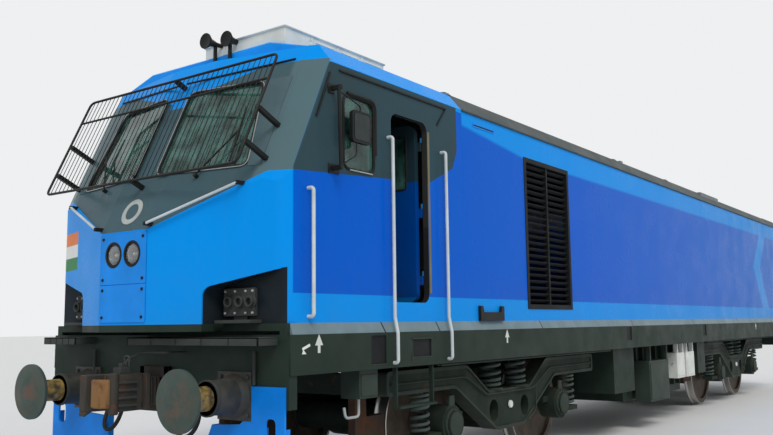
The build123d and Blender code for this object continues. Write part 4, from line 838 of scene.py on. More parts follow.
def bent(points, radius, closed=False):
    """A path of straight runs with its corners rounded."""
    points = [Vector(point) for point in points]
    count = len(points)
    path = []
    for index, corner in enumerate(points):
        if not closed and index in (0, count - 1):
            path.append(corner)
            continue
        before, after = points[index - 1] - corner, points[(index + 1) % count] - corner
        reach = min(radius, before.length / 2, after.length / 2)
        start = corner + before.normalized() * reach
        end = corner + after.normalized() * reach
        for step in range(BEND_STEPS + 1):
            t = step / BEND_STEPS
            path.append(start * (1 - t) ** 2 + corner * 2 * t * (1 - t) + end * t ** 2)
    return path


def pair(path):
    """A path and its mirror image on the other side."""
    return [[(x, side * y, z) for x, y, z in path] for side in SIDES]


def tube(name, runs, radius, kind, body="carbody", closed=False, replaces=None):
    """Round bars along paths, as one curve."""
    data = bpy.data.curves.new(name, "CURVE")
    data.dimensions = "3D"
    data.bevel_depth = radius
    data.bevel_resolution = 2
    data.use_fill_caps = True
    for points in runs:
        spline = data.splines.new("POLY")
        spline.points.add(len(points) - 1)
        for knot, point in zip(spline.points, points):
            knot.co = (*place(*point), 1)
        spline.use_cyclic_u = closed
        spline.use_smooth = True
    return settle(bpy.data.objects.new(name, data), kind, body, replaces)


def plate(
    name, loops, origin, thick, kind, body="carbody", replaces=None, across=ALONG, upward=UPRIGHT,
):
    """A flat plate from an outline and holes, in its own plane, with its middle at origin."""
    data = bpy.data.curves.new(name, "CURVE")
    data.dimensions = "2D"
    data.fill_mode = "BOTH"
    data.extrude = thick / 2
    for loop in loops:
        spline = data.splines.new("POLY")
        spline.points.add(len(loop) - 1)
        for knot, point in zip(spline.points, loop):
            knot.co = (point[0], point[1], 0, 1)
        spline.use_cyclic_u = True
    flat = bpy.data.objects.new(name, data)
    mesh = bpy.data.meshes.new_from_object(flat)
    bpy.data.objects.remove(flat)
    across, upward = Vector(across).normalized(), Vector(upward).normalized()
    columns = (across, upward, across.cross(upward), place(*origin))
    mesh.transform(Matrix([[column[row] for column in columns] for row in range(3)] + [(0, 0, 0, 1)]))
    return settle(bpy.data.objects.new(name, mesh), kind, body, replaces)


def ring_of(radius, middle=(0, 0), tall=1.0):
    """A circle or an upright oval as a loop of points."""
    turn = 2 * math.pi / RING_STEPS
    return [
        (middle[0] + radius * math.cos(turn * step), middle[1] + radius * tall * math.sin(turn * step))
        for step in range(RING_STEPS)
    ]


def frame_of(x0, x1, y0, y1, radius=0.0):
    """A rectangle with round corners as a loop of points."""
    corners = [(x0, y0, 0), (x1, y0, 0), (x1, y1, 0), (x0, y1, 0)]
    return [tuple(point)[:2] for point in bent(corners, radius, closed=True)] if radius else corners


print("builders ready")

# %% [markdown]
# Two brake hoses hang beside the coupler. A hose is a stout rubber tube that leaves its cock
# pointing down, swings through a wide bend and comes back up to its hook. One spline with few
# control points bends like that by itself, and never kinks as a path of arcs can.

# %% Brake hoses
HOSE_PATH = (
    (0.590, 0.420, 1.085), (0.575, 0.400, 0.980), (0.530, 0.385, 0.860), (0.490, 0.430, 0.760),
    (0.490, 0.530, 0.740), (0.520, 0.605, 0.800), (0.570, 0.615, 0.920), (0.590, 0.580, 1.045),
)
HOSE_THICK = 0.036
CHORDS = 400


def curve_length(spline):
    """The length of an order-3 spline with clamped ends, by summing short chords."""
    knots = [Vector(point.co[:3]) for point in spline.points]
    spans = len(knots) - 2
    total, last = 0.0, knots[0]
    for step in range(1, CHORDS + 1):
        u = spans * step / CHORDS
        span = min(int(u), spans - 1)
        t = u - span
        a, b, c = knots[span:span + 3]
        start = a if span == 0 else (a + b) / 2
        end = c if span == spans - 1 else (b + c) / 2
        here = start * (1 - t) ** 2 + b * 2 * t * (1 - t) + end * t ** 2
        total += (here - last).length
        last = here
    return total


def hose(side, name):
    """A hose with its white cock above and its hook at the end."""
    data = bpy.data.curves.new(name, "CURVE")
    data.dimensions = "3D"
    data.bevel_depth = HOSE_THICK / 2
    data.bevel_resolution = 4
    data.resolution_u = 16
    data.use_fill_caps = True
    spline = data.splines.new("NURBS")
    spline.points.add(len(HOSE_PATH) - 1)
    for knot, (station, y, height) in zip(spline.points, HOSE_PATH):
        knot.co = (*place(station, side * y, height), 1)
    spline.order_u = 3
    spline.use_endpoint_u = True
    rubber_hose = settle(bpy.data.objects.new(name, data), "bellows", "carbody", "air_hoses")
    station, y, height = HOSE_PATH[0]
    y *= side
    cock = Form()
    cock.turned(
        [(0, -0.02), (0.030, -0.02), (0.030, 0.035), (0.022, 0.045), (0.022, 0.07), (0, 0.07)],
        (station, y, 1.090), UPRIGHT,
    )
    cock.turned([(0, -0.03), (0.024, -0.03), (0.024, 0.06), (0, 0.06)], (station, y, 1.120), ALONG)
    cock.box((0.560, 0.575), (side * 0.40, side * 0.52), (1.125, 1.145))
    cock = cock.done(f"{name}_cock", "white_paint")
    hook = Form()
    hook.box((0.572, 0.620), (side * 0.565, side * 0.595), (1.035, 1.075))
    hook = hook.done(f"{name}_hook", "white_paint")
    long = curve_length(spline)
    print(name, "length", round(long, 3))


hose(-1, "brake_hose_left")
hose(1, "brake_hose_right")

# %% [markdown]
# The windscreens are flat panes held in rubber, with a thin pale filler strip in the rubber's
# groove. The strip is what locks the pane in, so it follows the rubber all the way round. The
# CAD's panes are wider than the glass that shows, so a border in the mask's grey covers the rest.

# %% Window rubbers
RAKE = 0.463
RAKE_SWEEP = 0.170
NOSE_X = 0.235
BELT = 2.450
BORDER_OFF = 0.012


def raked_x(y, height):
    """Station of the windscreen plane."""
    return NOSE_X + RAKE * (height - BELT) + RAKE_SWEEP * (abs(y) - FOLD_HALF)


def off_screen(y, height, distance):
    """A point that stands off the windscreen plane by a distance."""
    side = 1 if y > 0 else -1
    normal = Vector((-1, side * RAKE_SWEEP, RAKE)).normalized()
    return Vector((raked_x(y, height), y, height)) + normal * distance


def screen_loop(grow, distance):
    """The seen pane's outline, grown by a width: its outer edge leans with the corner."""
    corners = (
        (0.165 - grow, 2.950 - grow), (1.095 + grow, 2.950 - grow),
        (0.950 + grow, 3.745 + grow), (0.165 - grow, 3.745 + grow),
    )
    return bent([off_screen(y, z, distance) for y, z in corners], 0.07 + grow, closed=True)


def side_loop(grow, out):
    """The side window's outline on the cab's side."""
    x0, x1, z0, z1 = 1.330 - grow, 1.750 + grow, 2.980 - grow, 3.620 + grow
    y = HALF_WIDTH + out
    return bent([(x0, y, z0), (x1, y, z0), (x1, y, z1), (x0, y, z1)], 0.08 + grow, closed=True)


rubber_loops = pair(screen_loop(0.004, 0.002)) + pair(side_loop(0.006, 0.002))
tube("window_rubbers", rubber_loops, 0.013, "rubber", closed=True)
tube("filler_strips", pair(screen_loop(0.014, 0.010)), 0.0045, "pale_trim", closed=True)
window_head = bent([(1.370, 1.530, 3.640), (1.770, 1.530, 3.640), (1.770, 1.530, 3.150)], 0.09)
tube("window_heads", pair(window_head), 0.016, "rubber")
tube("window_feet", pair([(1.40, 1.531, 2.968), (1.72, 1.531, 2.968)]), 0.006, "pale_trim")
borders = Form()
for side in SIDES:
    outline = ((1.235, 2.930), (1.105, 2.935), (0.955, 3.765), (1.235, 3.765))
    shift = off_screen(side, 3.0, BORDER_OFF / 2) - off_screen(side, 3.0, -BORDER_OFF)
    borders.prism([off_screen(side * y, z, -BORDER_OFF) for y, z in outline], shift)
borders.done("pane_borders", "border_grey", bevel=0.002)
print("rubbers", len(rubber_loops))

# %% [markdown]
# A wide frame of bars stands in front of the glass and keeps stones off. It is one flat frame
# across both screens, welded from square bar with thin upright rods, on stiff little feet.

# %% Windscreen guard
GUARD_HALF = 1.290
GUARD_LOW, GUARD_HIGH = 2.900, 3.890
GUARD_OFF = 0.130
GUARD_BARS = 39
GUARD_LEAN = Vector((-1, 0, RAKE)).normalized()
FOOT_HALF = 0.020


def on_guard(y, height):
    """A point on the guard's plane, which has no sweep."""
    return Vector((NOSE_X + RAKE * (height - BELT) - GUARD_OFF * math.hypot(1, RAKE), y, height))


edge = bent([
    on_guard(-GUARD_HALF, GUARD_LOW), on_guard(GUARD_HALF, GUARD_LOW),
    on_guard(GUARD_HALF, GUARD_HIGH), on_guard(-GUARD_HALF, GUARD_HIGH),
], 0.06, closed=True)
tube("guard_frame", [edge], 0.012, "black_metal", closed=True, replaces="windscreen_guards")
bar_places = [-GUARD_HALF + (index + 1) * 2 * GUARD_HALF / (GUARD_BARS + 1) for index in range(GUARD_BARS)]
bars = [[on_guard(y, GUARD_LOW), on_guard(y, GUARD_HIGH)] for y in bar_places]
tube("guard_bars", bars, 0.0035, "black_metal")
tube("guard_rail", [[on_guard(-GUARD_HALF, 3.655), on_guard(GUARD_HALF, 3.655)]], 0.011, "black_metal")
feet = Form()
for y, height in ((0, GUARD_LOW), (0, GUARD_HIGH), (1.27, 3.40), (-1.27, 3.40), (1.27, 3.10), (-1.27, 3.10)):
    top, low = on_guard(y, height + 0.018), on_guard(y, height - 0.018)
    y0, y1 = y - FOOT_HALF, y + FOOT_HALF
    outline = [(top.x, y0, top.z), (low.x, y0, low.z), (low.x, y1, low.z), (top.x, y1, top.z)]
    feet.prism(outline, -GUARD_LEAN * (0.135 + 0.17 * abs(y)))
feet.done("guard_feet", "black_metal")
print("guard bars", GUARD_BARS)

# %% [markdown]
# Rain strips turn the water aside before it runs over a door or a window. They are narrow
# angles glued to the sheet, so a thin bar of rectangular section is all that they need.

# %% Rain strips
strips = Form()
for outline in (
    ((1.140, 3.780), (1.158, 3.780), (0.978, 3.360), (0.960, 3.360)),
    ((1.270, 3.812), (2.980, 3.812), (2.980, 3.828), (1.270, 3.828)),
    ((2.962, 3.812), (2.980, 3.812), (2.820, 3.620), (2.802, 3.620)),
):
    strips.prism_pair(outline, HALF_WIDTH, 0.014)
strips.done("side_strips", "black_metal", bevel=0.002)
screen_gutter = [off_screen(0.06, 3.865, 0.006), off_screen(1.20, 3.935, 0.006)]
tube("screen_gutters", pair(screen_gutter), 0.010, "black_metal")

# %% [markdown]
# The nose's middle panel is two sheets with a gap between them, each held by bolts. A pair of
# round headlamps looks through the upper sheet. A lamp is a clear lens over a bowl of bright
# metal with the bulb in its middle, so the bowl is modelled, and the lens in front of it. The
# bowl's metal is painted near black here, as painted shade inside the lamp.

# %% Nose sheets and headlamps
LAMP = (0.235, 0.125, 2.255)
SHEET = (0.231, 0.309, 0.008)               # station, half width and thickness of a nose sheet
nose_loops = [frame_of(-SHEET[1], SHEET[1], 2.003 - LAMP[2], 2.437 - LAMP[2], 0.012)]
nose_loops += [ring_of(0.096, (side * LAMP[1], 0)) for side in SIDES]
plate("nose_sheet", nose_loops, (SHEET[0], 0, LAMP[2]), SHEET[2], "azure_plain", across=ACROSS)
low_loops = [frame_of(-SHEET[1], SHEET[1], -0.157, 0.157, 0.012)]
plate("nose_sheet_low", low_loops, (SHEET[0], 0, 1.840), SHEET[2], "azure_plain", across=ACROSS)
bolts = Form()
for height in (1.725, 1.955, 2.045, 2.395):
    bolts.turned_pair(
        [(0, 0), (0.014, 0), (0.014, 0.003), (0.010, 0.004), (0.010, 0.010), (0, 0.011)],
        (0.227, 0.267, height), (-1, 0, 0), 12,
    )
bolts.done("nose_bolts", "black_metal", bevel=0)
# Painted shade: the bowl's metal is near black, standing for the shade inside the lamp.
bowl_shade_paint = Paint("lamp_bowl_shade", 0.30, 0.7)
bowl_shade_paint.color(bowl_shade_paint.mix(bowl_shade_paint.noise(8), (0.035, 0.040, 0.045), (0.02, 0.022, 0.025)))
bowls, lenses, rims, bulbs = Form(), Form(), Form(), Form()
bowls.turned_pair(
    [(0.090, 0.004), (0.078, 0.030), (0.056, 0.052), (0.022, 0.064), (0, 0.066),
     (0, 0.070), (0.026, 0.068), (0.060, 0.056), (0.084, 0.032), (0.094, 0.004)], LAMP, ALONG, 32,
)
lenses.turned_pair(
    [(0, -0.012), (0.045, -0.010), (0.078, -0.004), (0.092, 0.003), (0.092, 0.007),
     (0.076, 0.000), (0.044, -0.006), (0, -0.008)], LAMP, ALONG, 32,
)
rims.turned_pair(
    [(0.088, -0.010), (0.100, -0.014), (0.112, -0.010), (0.114, 0.000), (0.090, 0.000)], LAMP, ALONG, 32,
)
bulbs.turned_pair(
    [(0, -0.030), (0.010, -0.026), (0.015, -0.014), (0.013, 0.0), (0.013, 0.02), (0, 0.02)],
    (0.275, LAMP[1], LAMP[2]), ALONG, 16,
)
bowls.done("lamp_bowls", "lamp_bowl_shade", bevel=0)
lenses.done("lamp_lenses", "lamp_glass", bevel=0, replaces="headlamps")
rims.done("lamp_rims", "rubber", bevel=0)
bulbs.done("lamp_bulbs", "white_paint", slot="lamp_glass", bevel=0)
ring_home = on_guard(0, 2.68) - GUARD_LEAN * (GUARD_OFF - 0.003)
plate(
    "nose_ring", [ring_of(0.125), ring_of(0.078)], ring_home, 0.005, "pale_trim",
    across=ACROSS, upward=(RAKE, 0, 1),
)
print("lamps", 2, "bolts", 8)

# %% [markdown]
# Handrails over the nose's crease let the crew stand on the treads in front and clean the
# glass. They are thin, pale and straight, and stand off the sheet on small black posts.

# %% Crease rails and treads
def crease(y):
    """A point on the crease between the nose and the windscreen plane."""
    wide = max(abs(y) - FOLD_HALF, 0)
    return Vector((NOSE_X + NOSE_SWEEP * wide, y, BELT + (NOSE_SWEEP - RAKE_SWEEP) / RAKE * wide))


ends = [crease(y) + Vector((-0.055, 0, 0.030)) for y in (0.336, 1.130)]
tube("crease_rails", pair(ends), 0.012, "rail_paint")
posts = Form()
for x, y, z in ends:
    posts.box_pair(((x - 0.012, x + 0.10), (y - 0.014, y + 0.014), (z - 0.016, z + 0.016)))
posts.done("crease_posts", "black_metal")
treads = Form()
for y0, y1 in ((-1.430, 0.140), (0.900, 1.400)):
    treads.box((0.400, 0.620), (y0, y1), (1.543, 1.555))
    treads.box((0.400, 0.412), (y0, y1), (1.490, 1.555))
    for index in range(6):
        y = y0 + index * (y1 - y0 - 0.012) / 5
        treads.box((0.400, 0.620), (y, y + 0.012), (1.490, 1.550))
treads.done("nose_treads", "socket_grey", slot="frame_green", bevel=0.002)

# %% [markdown]
# In the cut-away corners of the nose stand the panels with the sockets for the cables to
# another locomotive: three round sockets with spring lids, over a tread.

# %% Jumper sockets
panels, studs = Form(), Form()
panels.box_pair(
    ((0.600, 0.640), (0.840, 1.190), (1.720, 1.945)), ((0.500, 0.640), (0.840, 1.240), (1.662, 1.690)),
    ((0.620, 0.640), (0.940, 1.090), (1.680, 1.740)),
)
for y in (0.915, 1.040, 1.155):
    panels.turned_pair(
        [(0, 0.005), (0.030, 0.005), (0.030, -0.035), (0.046, -0.035), (0.046, -0.006), (0.056, -0.006),
         (0.056, 0.010), (0, 0.010)],
        (0.600, y, 1.835), ALONG, 20,
    )
panels.done("jumper_sockets", "socket_grey", replaces="jumper_boxes")
for y in (0.865, 0.978, 1.098, 1.175):
    for height in (1.745, 1.920):
        studs.turned_pair([(0, 0), (0.010, 0), (0.010, -0.010), (0, -0.012)], (0.600, y, height), ALONG, 8)
studs.done("socket_studs", "pale_trim", slot="black_metal", bevel=0)

# %% [markdown]
# The driver's mirror hangs on a leaning post beside the window, between two clamps, with thin
# stays above and below. Its glass faces outward, so the front shows a dark housing.

# %% Mirrors
MIRROR_Y = 1.620
MIRROR_MIDDLE = (1.440, 3.330)              # station and height
clamps = Form()
for stations, z in (((1.120, 1.200), 3.635), ((1.120, 1.260), 2.945)):
    clamps.box_pair(
        (stations, (1.515, 1.532), (z - 0.040, z + 0.040)),
        ((1.150, 1.178), (1.520, 1.638), (z - 0.020, z + 0.020)),
    )
clamps.done("mirror_clamps", "black_metal", replaces="mirrors")
tube("mirror_posts", pair([(1.150, MIRROR_Y, 3.640), (1.172, MIRROR_Y, 2.940)]), 0.016, "black_metal")
upper_stay = bent([(1.150, MIRROR_Y, 3.600), (1.440, MIRROR_Y, 3.520), (1.440, MIRROR_Y, 3.465)], 0.03)
lower_stay = bent([(1.172, MIRROR_Y, 2.960), (1.380, MIRROR_Y, 3.080), (1.380, MIRROR_Y, 3.195)], 0.03)
tube("mirror_stays", pair(upper_stay) + pair(lower_stay), 0.006, "black_metal")
# Painted reflection: the mirror's glass is near black in place of silvered glass, a painted dark reflection.
mirror_glass = Paint("mirror_glass", 0.05, 1.0)
mirror_glass.color(mirror_glass.mix(mirror_glass.noise(6), (0.030, 0.038, 0.038), (0.060, 0.072, 0.072)))
for side, name in HANDS:
    for label, half, tall, corner, y, thick, kind in (
        ("", 0.130, 0.140, 0.045, 1.618, 0.036, "black_metal"),
        ("_glass", 0.105, 0.115, 0.035, 1.6375, 0.004, "mirror_glass"),
    ):
        loops = [frame_of(-half, half, -tall, tall, corner)]
        plate(f"mirror_{name}{label}", loops, (MIRROR_MIDDLE[0], side * y, MIRROR_MIDDLE[1]), thick, kind)

# %% [markdown]
# The coupler's neck runs through a square frame on the headstock. A thin rod from the side of
# the vehicle lifts its lock, so that nobody has to stand between the buffers. Below hangs the
# rail guard, one sheet with a slot near each end, and each buffer has a collar with four bolts.

# %% Coupler, buffer collars and rail guard
COUPLER = 1.105
HEAD = (
    (0.400, -0.085), (0.170, -0.095), (0.115, -0.070), (0.105, -0.010), (0.160, 0.040), (0.170, 0.110),
    (0.060, 0.140), (0.012, 0.150), (0.012, 0.235), (0.070, 0.240), (0.210, 0.200), (0.400, 0.085),
)
KNUCKLE = (
    (0.150, -0.070), (0.060, -0.075), (0.016, -0.030), (0.012, 0.050), (0.030, 0.105), (0.062, 0.108),
    (0.078, 0.060), (0.095, 0.000), (0.150, 0.010),
)
PLOUGH = (
    (1.520, 0.170), (1.520, 1.170), (1.150, 1.170), (1.115, 0.930), (1.040, 0.870), (0.720, 0.850),
    (0.620, 0.640),
)
BOLT_OFF = 0.150
neck = Form()
neck.box_pair(((0.580, 0.620), (0.130, 0.190), (COUPLER - 0.180, COUPLER + 0.200)))
neck.box((0.580, 0.620), (-0.190, 0.190), (COUPLER - 0.180, COUPLER - 0.110))
neck.box((0.580, 0.620), (-0.190, 0.190), (COUPLER + 0.110, COUPLER + 0.200))
neck.box((0.410, 0.450), (-0.120, 0.120), (COUPLER - 0.150, COUPLER + 0.150))
for x in (0.475, 0.515, 0.550):
    neck.box((x, x + 0.014), (-0.100, 0.100), (COUPLER - 0.120, COUPLER + 0.120))
neck.done("coupler_neck", "cast_steel")
head, knuckle, ribs = Form(), Form(), Form()
head.prism([(x, y, COUPLER - 0.150) for x, y in HEAD], (0, 0, 0.300))
head.prism([
    (0.012, 0.150, COUPLER - 0.19), (0.012, 0.235, COUPLER - 0.19),
    (0.085, 0.235, COUPLER - 0.15), (0.085, 0.150, COUPLER - 0.15),
], (0, 0, 0.04))
head.box((0.390, 0.600), (-0.075, 0.075), (COUPLER - 0.090, COUPLER + 0.090))
head.turned([(0, -0.17), (0.040, -0.17), (0.040, 0.165), (0, 0.165)], (0.125, -0.070, COUPLER), UPRIGHT, 20)
head.done("coupler_casting", "cast_steel", bevel=0.008, replaces="coupler_head")
knuckle.prism([(x, y, COUPLER - 0.115) for x, y in KNUCKLE], (0, 0, 0.230))
knuckle.done("coupler_hook", "knuckle_tan", bevel=0.012, replaces="coupler_knuckle")
for index in range(4):
    z = COUPLER - 0.110 + index * 0.062
    ribs.box((0.150, 0.330), (-0.112, 0.0), (z, z + 0.020))
ribs.box((0.200, 0.300), (-0.050, 0.050), (COUPLER + 0.148, COUPLER + 0.205))
ribs.box((0.230, 0.270), (-0.020, 0.020), (COUPLER + 0.200, COUPLER + 0.240))
ribs.done("coupler_ribs", "socket_grey", slot="cast")
release = bent([
    (0.290, 0, 1.255), (0.290, 0, 1.370), (0.410, -0.050, 1.430), (0.410, -0.360, 1.430),
    (0.620, -0.360, 1.430),
], 0.04)
lock_loop = bent([(0.300, 0.03, 1.26), (0.300, 0.03, 1.40), (0.300, -0.03, 1.40), (0.300, -0.03, 1.26)], 0.02)
tube("release_rod", [release, lock_loop], 0.009, "socket_grey")
stanchions = [[(0.600, y, 1.18), (0.600, y, 1.44)] for y in (-1.195, 0.88)]
tube("headstock_posts", stanchions, 0.014, "socket_grey")
collars = Form()
collars.turned_pair(
    [(0.094, 0.300), (0.142, 0.300), (0.142, 0.332), (0.128, 0.332), (0.094, 0.310)],
    (0, BUFFER_Y, BUFFER_HEIGHT), ALONG, 40,
)
for y in (BUFFER_Y - BOLT_OFF, BUFFER_Y + BOLT_OFF):
    for z in (BUFFER_HEIGHT - BOLT_OFF, BUFFER_HEIGHT + BOLT_OFF):
        collars.turned_pair([(0, 0), (0.020, 0), (0.020, 0.016), (0, 0.018)], (0.596, y, z), (-1, 0, 0), 6)
collars.done("buffer_collars", "socket_grey")
plough = [list(PLOUGH) + [(-x, z) for x, z in reversed(PLOUGH)]]
plough += [frame_of(1.319, 1.429, 0.751, 0.929, 0.045), frame_of(-1.429, -1.319, 0.751, 0.929, 0.045)]
plate("plough_sheet", plough, (0.610, 0, 0), 0.020, "plough_blue", replaces="rail_guard", across=ACROSS)
ties = Form()
ties.box_pair(*[((0.618, 0.700), (y, y + 0.012), (0.250, 0.850)) for y in (0.700, 1.250, 1.480)])
ties.box_pair(((0.618, 0.680), (0.700, 1.500), (0.170, 0.190)))
ties.done("plough_ties", "plough_blue")
print("coupler dressed")

# %% [markdown]
# A bogie's side frame is a welded box: two flanges round an upright web. Seen from outside
# the flange makes a raised rim, and two upright ovals are cut through the web. The frame is
# drawn as its outline with holes and given its real thickness.

# %% Bogie frames
STATIONS = {"front": 4.600, "rear": 14.600}
BEAM = (0.970, 1.200)
DROP = (0.455, 0.900)
BEAM_END = 2.400
SIDE_INNER, SIDE_OUTER = 1.120, 1.310
WEB_SUNK = 0.014
OVAL_X, OVAL_Z = 0.370, 0.675
SPRING_Y = 1.215
SPRING_X = 0.300


def side_outline(inset):
    """The side frame's outline about its middle, inside its edge by a width."""
    tilt = 0.4 * inset
    low, high = BEAM[0] + inset, BEAM[1] - inset
    half = [
        (0.490 - tilt, DROP[1] - inset), (0.950 - tilt, high), (BEAM_END - inset, high),
        (BEAM_END - inset, low), (1.180 + tilt, low), (0.320 + tilt, DROP[0] + inset),
    ]
    points = half + [(-x, z) for x, z in reversed(half)]
    return [tuple(point)[:2] for point in bent([(x, z, 0) for x, z in points], 0.05, closed=True)]


for end, station in STATIONS.items():
    body = f"bogie_{end}"
    holes = [ring_of(0.100, (side * OVAL_X, OVAL_Z), 1.2) for side in SIDES]
    for side, name in HANDS:
        middle, wide = side * (SIDE_INNER + SIDE_OUTER) / 2, SIDE_OUTER - SIDE_INNER
        plate(
            f"bogie_web_{end}_{name}", [side_outline(0.004)] + holes,
            (station, middle - side * WEB_SUNK / 2, 0), wide - WEB_SUNK, "bogie_dust", body,
            replaces=f"bogie_frame_{end}",
        )
        rim = [side_outline(0), side_outline(0.036)]
        plate(f"bogie_rim_{end}_{name}", rim, (station, middle, 0), wide, "bogie_edge", body)
    beams, caps, ribs = Form(), Form(), Form()
    beams.box((station - 0.280, station + 0.280), (-1.125, 1.125), (0.560, 0.880))
    for direction in SIDES:
        outer = station + direction * BEAM_END
        beams.box(sorted((outer, outer - direction * 0.170)), (-1.125, 1.125), (0.970, 1.170))
        x = station + direction * SPRING_X
        for left in (x - 0.096, x - 0.036, x + 0.024, x + 0.084):
            ribs.box_pair(((left, left + 0.012), (1.10, 1.36), (1.235, 1.262)))
        ribs.turned_pair([(0, 0), (0.145, 0), (0.145, 0.018), (0, 0.018)], (x, SPRING_Y, 0.900), UPRIGHT, 28)
    caps.turned_pair([(0, 0), (0.045, 0), (0.040, 0.016), (0, 0.020)], (station, 1.304, 0.715), (0, 1, 0), 20)
    beams.done(f"bogie_beams_{end}", "bogie_dust", body)
    caps.done(f"bogie_caps_{end}", "white_paint", body, bevel=0)
    ribs.done(f"spring_seats_{end}", "bogie_edge", body, bevel=0)

# %% [markdown]
# The springs are real coils. A coil is a helix, one formula with a radius, a height and a
# number of turns, whose ends lie flat on their seats. A turned stack of rings would show a
# cut through each ring at the side. The helix shows the slope of the wire.

# %% Coil springs
PRIMARY_X = 1.725
THIN_WIRE, THICK_WIRE = 0.017, 0.020


def coil(x, y, low, high, radius, wire, turns):
    """A helix between two seats, with closed ends."""
    points = []
    steps = 22 * turns
    for step in range(steps + 1):
        t = step / steps
        angle = 2 * math.pi * turns * t
        ease = t - math.sin(2 * math.pi * t) / (2 * math.pi) * 0.35
        height = low + wire + (high - low - 2 * wire) * ease
        points.append((x + radius * math.cos(angle), y + radius * math.sin(angle), height))
    return points


for end, station in STATIONS.items():
    thick, thin = [], []
    for side in SIDES:
        for direction in SIDES:
            x = station + direction * PRIMARY_X
            thin.append(coil(x, side * SPRING_Y, 0.560, 0.968, 0.086, THIN_WIRE, 6))
            x = station + direction * SPRING_X
            thick.append(coil(x, side * SPRING_Y, 0.905, 1.396, 0.108, THICK_WIRE, 7))
    body = f"bogie_{end}"
    tube(f"primary_coils_{end}", thin, THIN_WIRE, "spring_paint", body, replaces=f"springs_{end}")
    tube(f"secondary_coils_{end}", thick, THICK_WIRE, "spring_paint", body)
print("coils", 16)

# %% [markdown]
# Each axlebox ends in a round cover held by six bolts, with an ear above it that the bogie is
# lifted by. Thin pipes bring oil to the guides and air to the brakes.

# %% Axlebox covers and pipes
AXLE_REACH = 1.300
COVER_HEIGHT = 0.625
BOLT_RING = 0.138
for end, station in STATIONS.items():
    body = f"bogie_{end}"
    covers, heads = Form(), Form()
    for x in (station - AXLE_REACH, station + AXLE_REACH):
        covers.turned_pair(
            [(0, 0), (0.150, 0), (0.150, 0.024), (0.128, 0.034), (0.124, 0.056), (0.070, 0.064), (0, 0.064)],
            (x, 1.328, COVER_HEIGHT), (0, 1, 0), 36,
        )
        ear = [(x - 0.055, 0.800), (x + 0.055, 0.800), (x + 0.045, 0.905), (x - 0.045, 0.905)]
        covers.prism_pair(ear, 1.312, 0.020)
        for index in range(6):
            angle = 2 * math.pi * (index + 0.5) / 6
            bolt_x, bolt_z = x + BOLT_RING * math.cos(angle), COVER_HEIGHT + BOLT_RING * math.sin(angle)
            heads.turned_pair(
                [(0, 0), (0.013, 0), (0.013, 0.014), (0, 0.016)], (bolt_x, 1.350, bolt_z), (0, 1, 0), 6,
            )
    covers.done(f"axle_covers_{end}", "bogie_edge", body)
    heads.done(f"cover_bolts_{end}", "socket_grey", body, slot="frame_green", bevel=0)
    y = 1.322
    long_pipe = [(-2.35, 1.08), (-1.0, 1.08), (-0.56, 0.86), (0.56, 0.86), (1.0, 1.08), (2.35, 1.08)]
    short_pipe = [(0.62, 0.90), (0.62, 0.60), (0.40, 0.50)]
    pipes = pair(bent([(station + x, y, z) for x, z in long_pipe], 0.08))
    pipes += pair(bent([(station + x, y, z) for x, z in short_pipe], 0.06))
    tube(f"bogie_pipes_{end}", pipes, 0.009, "bogie_edge", body)

# %% [markdown]
# Between the bogies hang the boxes for batteries and air, each with a lid that stands proud
# and a pair of straps up to the sill. One small box with a hooked rod hangs behind the cab.

# %% Boxes below the sill
SILL_FOOT = 1.256
boxes, pale_boxes = Form(), Form()
for group, x0, x1, low, high in (
    (boxes, 8.840, 9.740, 0.400, 1.020), (pale_boxes, 10.200, 10.600, 0.680, 1.100),
    (pale_boxes, 10.700, 11.150, 0.680, 1.100),
):
    group.box_pair(
        ((x0, x1), (1.225, 1.468), (low, high)),
        ((x0 + 0.035, x1 - 0.035), (1.460, 1.478), (low + 0.035, high - 0.035)),
        *[((x - 0.020, x + 0.020), (1.400, 1.470), (high - 0.02, SILL_FOOT)) for x in (x0 + 0.06, x1 - 0.06)],
    )
boxes.box_pair(
    ((1.540, 1.800), (1.300, 1.508), (1.010, SILL_FOOT)), ((1.560, 1.780), (1.500, 1.516), (1.030, 1.215)),
)
hook_bends = ((1.600, 1.012), (1.600, 0.860), (1.420, 0.860), (1.400, 0.950))
hook_path = bent([(x, 1.450, z) for x, z in hook_bends], 0.04)
boxes.done("sill_boxes", "box_green")
pale_boxes.done("pale_boxes", "off_white")
tube("box_hooks", pair(hook_path), 0.012, "pale_trim")
sill_pipes = []
for y in (1.460, 1.420):
    for x0, x1 in ((2.9, 7.3), (12.0, 18.6)):
        sill_pipes += pair([(x0, y, 1.237), (x1, y, 1.237)])
tube("sill_pipes", sill_pipes, 0.014, "bogie_edge")

# %% [markdown]
# The sill is a pressed channel with hollows for the steps and the jacks. A face plate with
# openings, a few millimetres in front of the dark beam, gives each hollow its edge. Thin black
# backs in the openings are painted shade, so that the shallow hollows look deep.

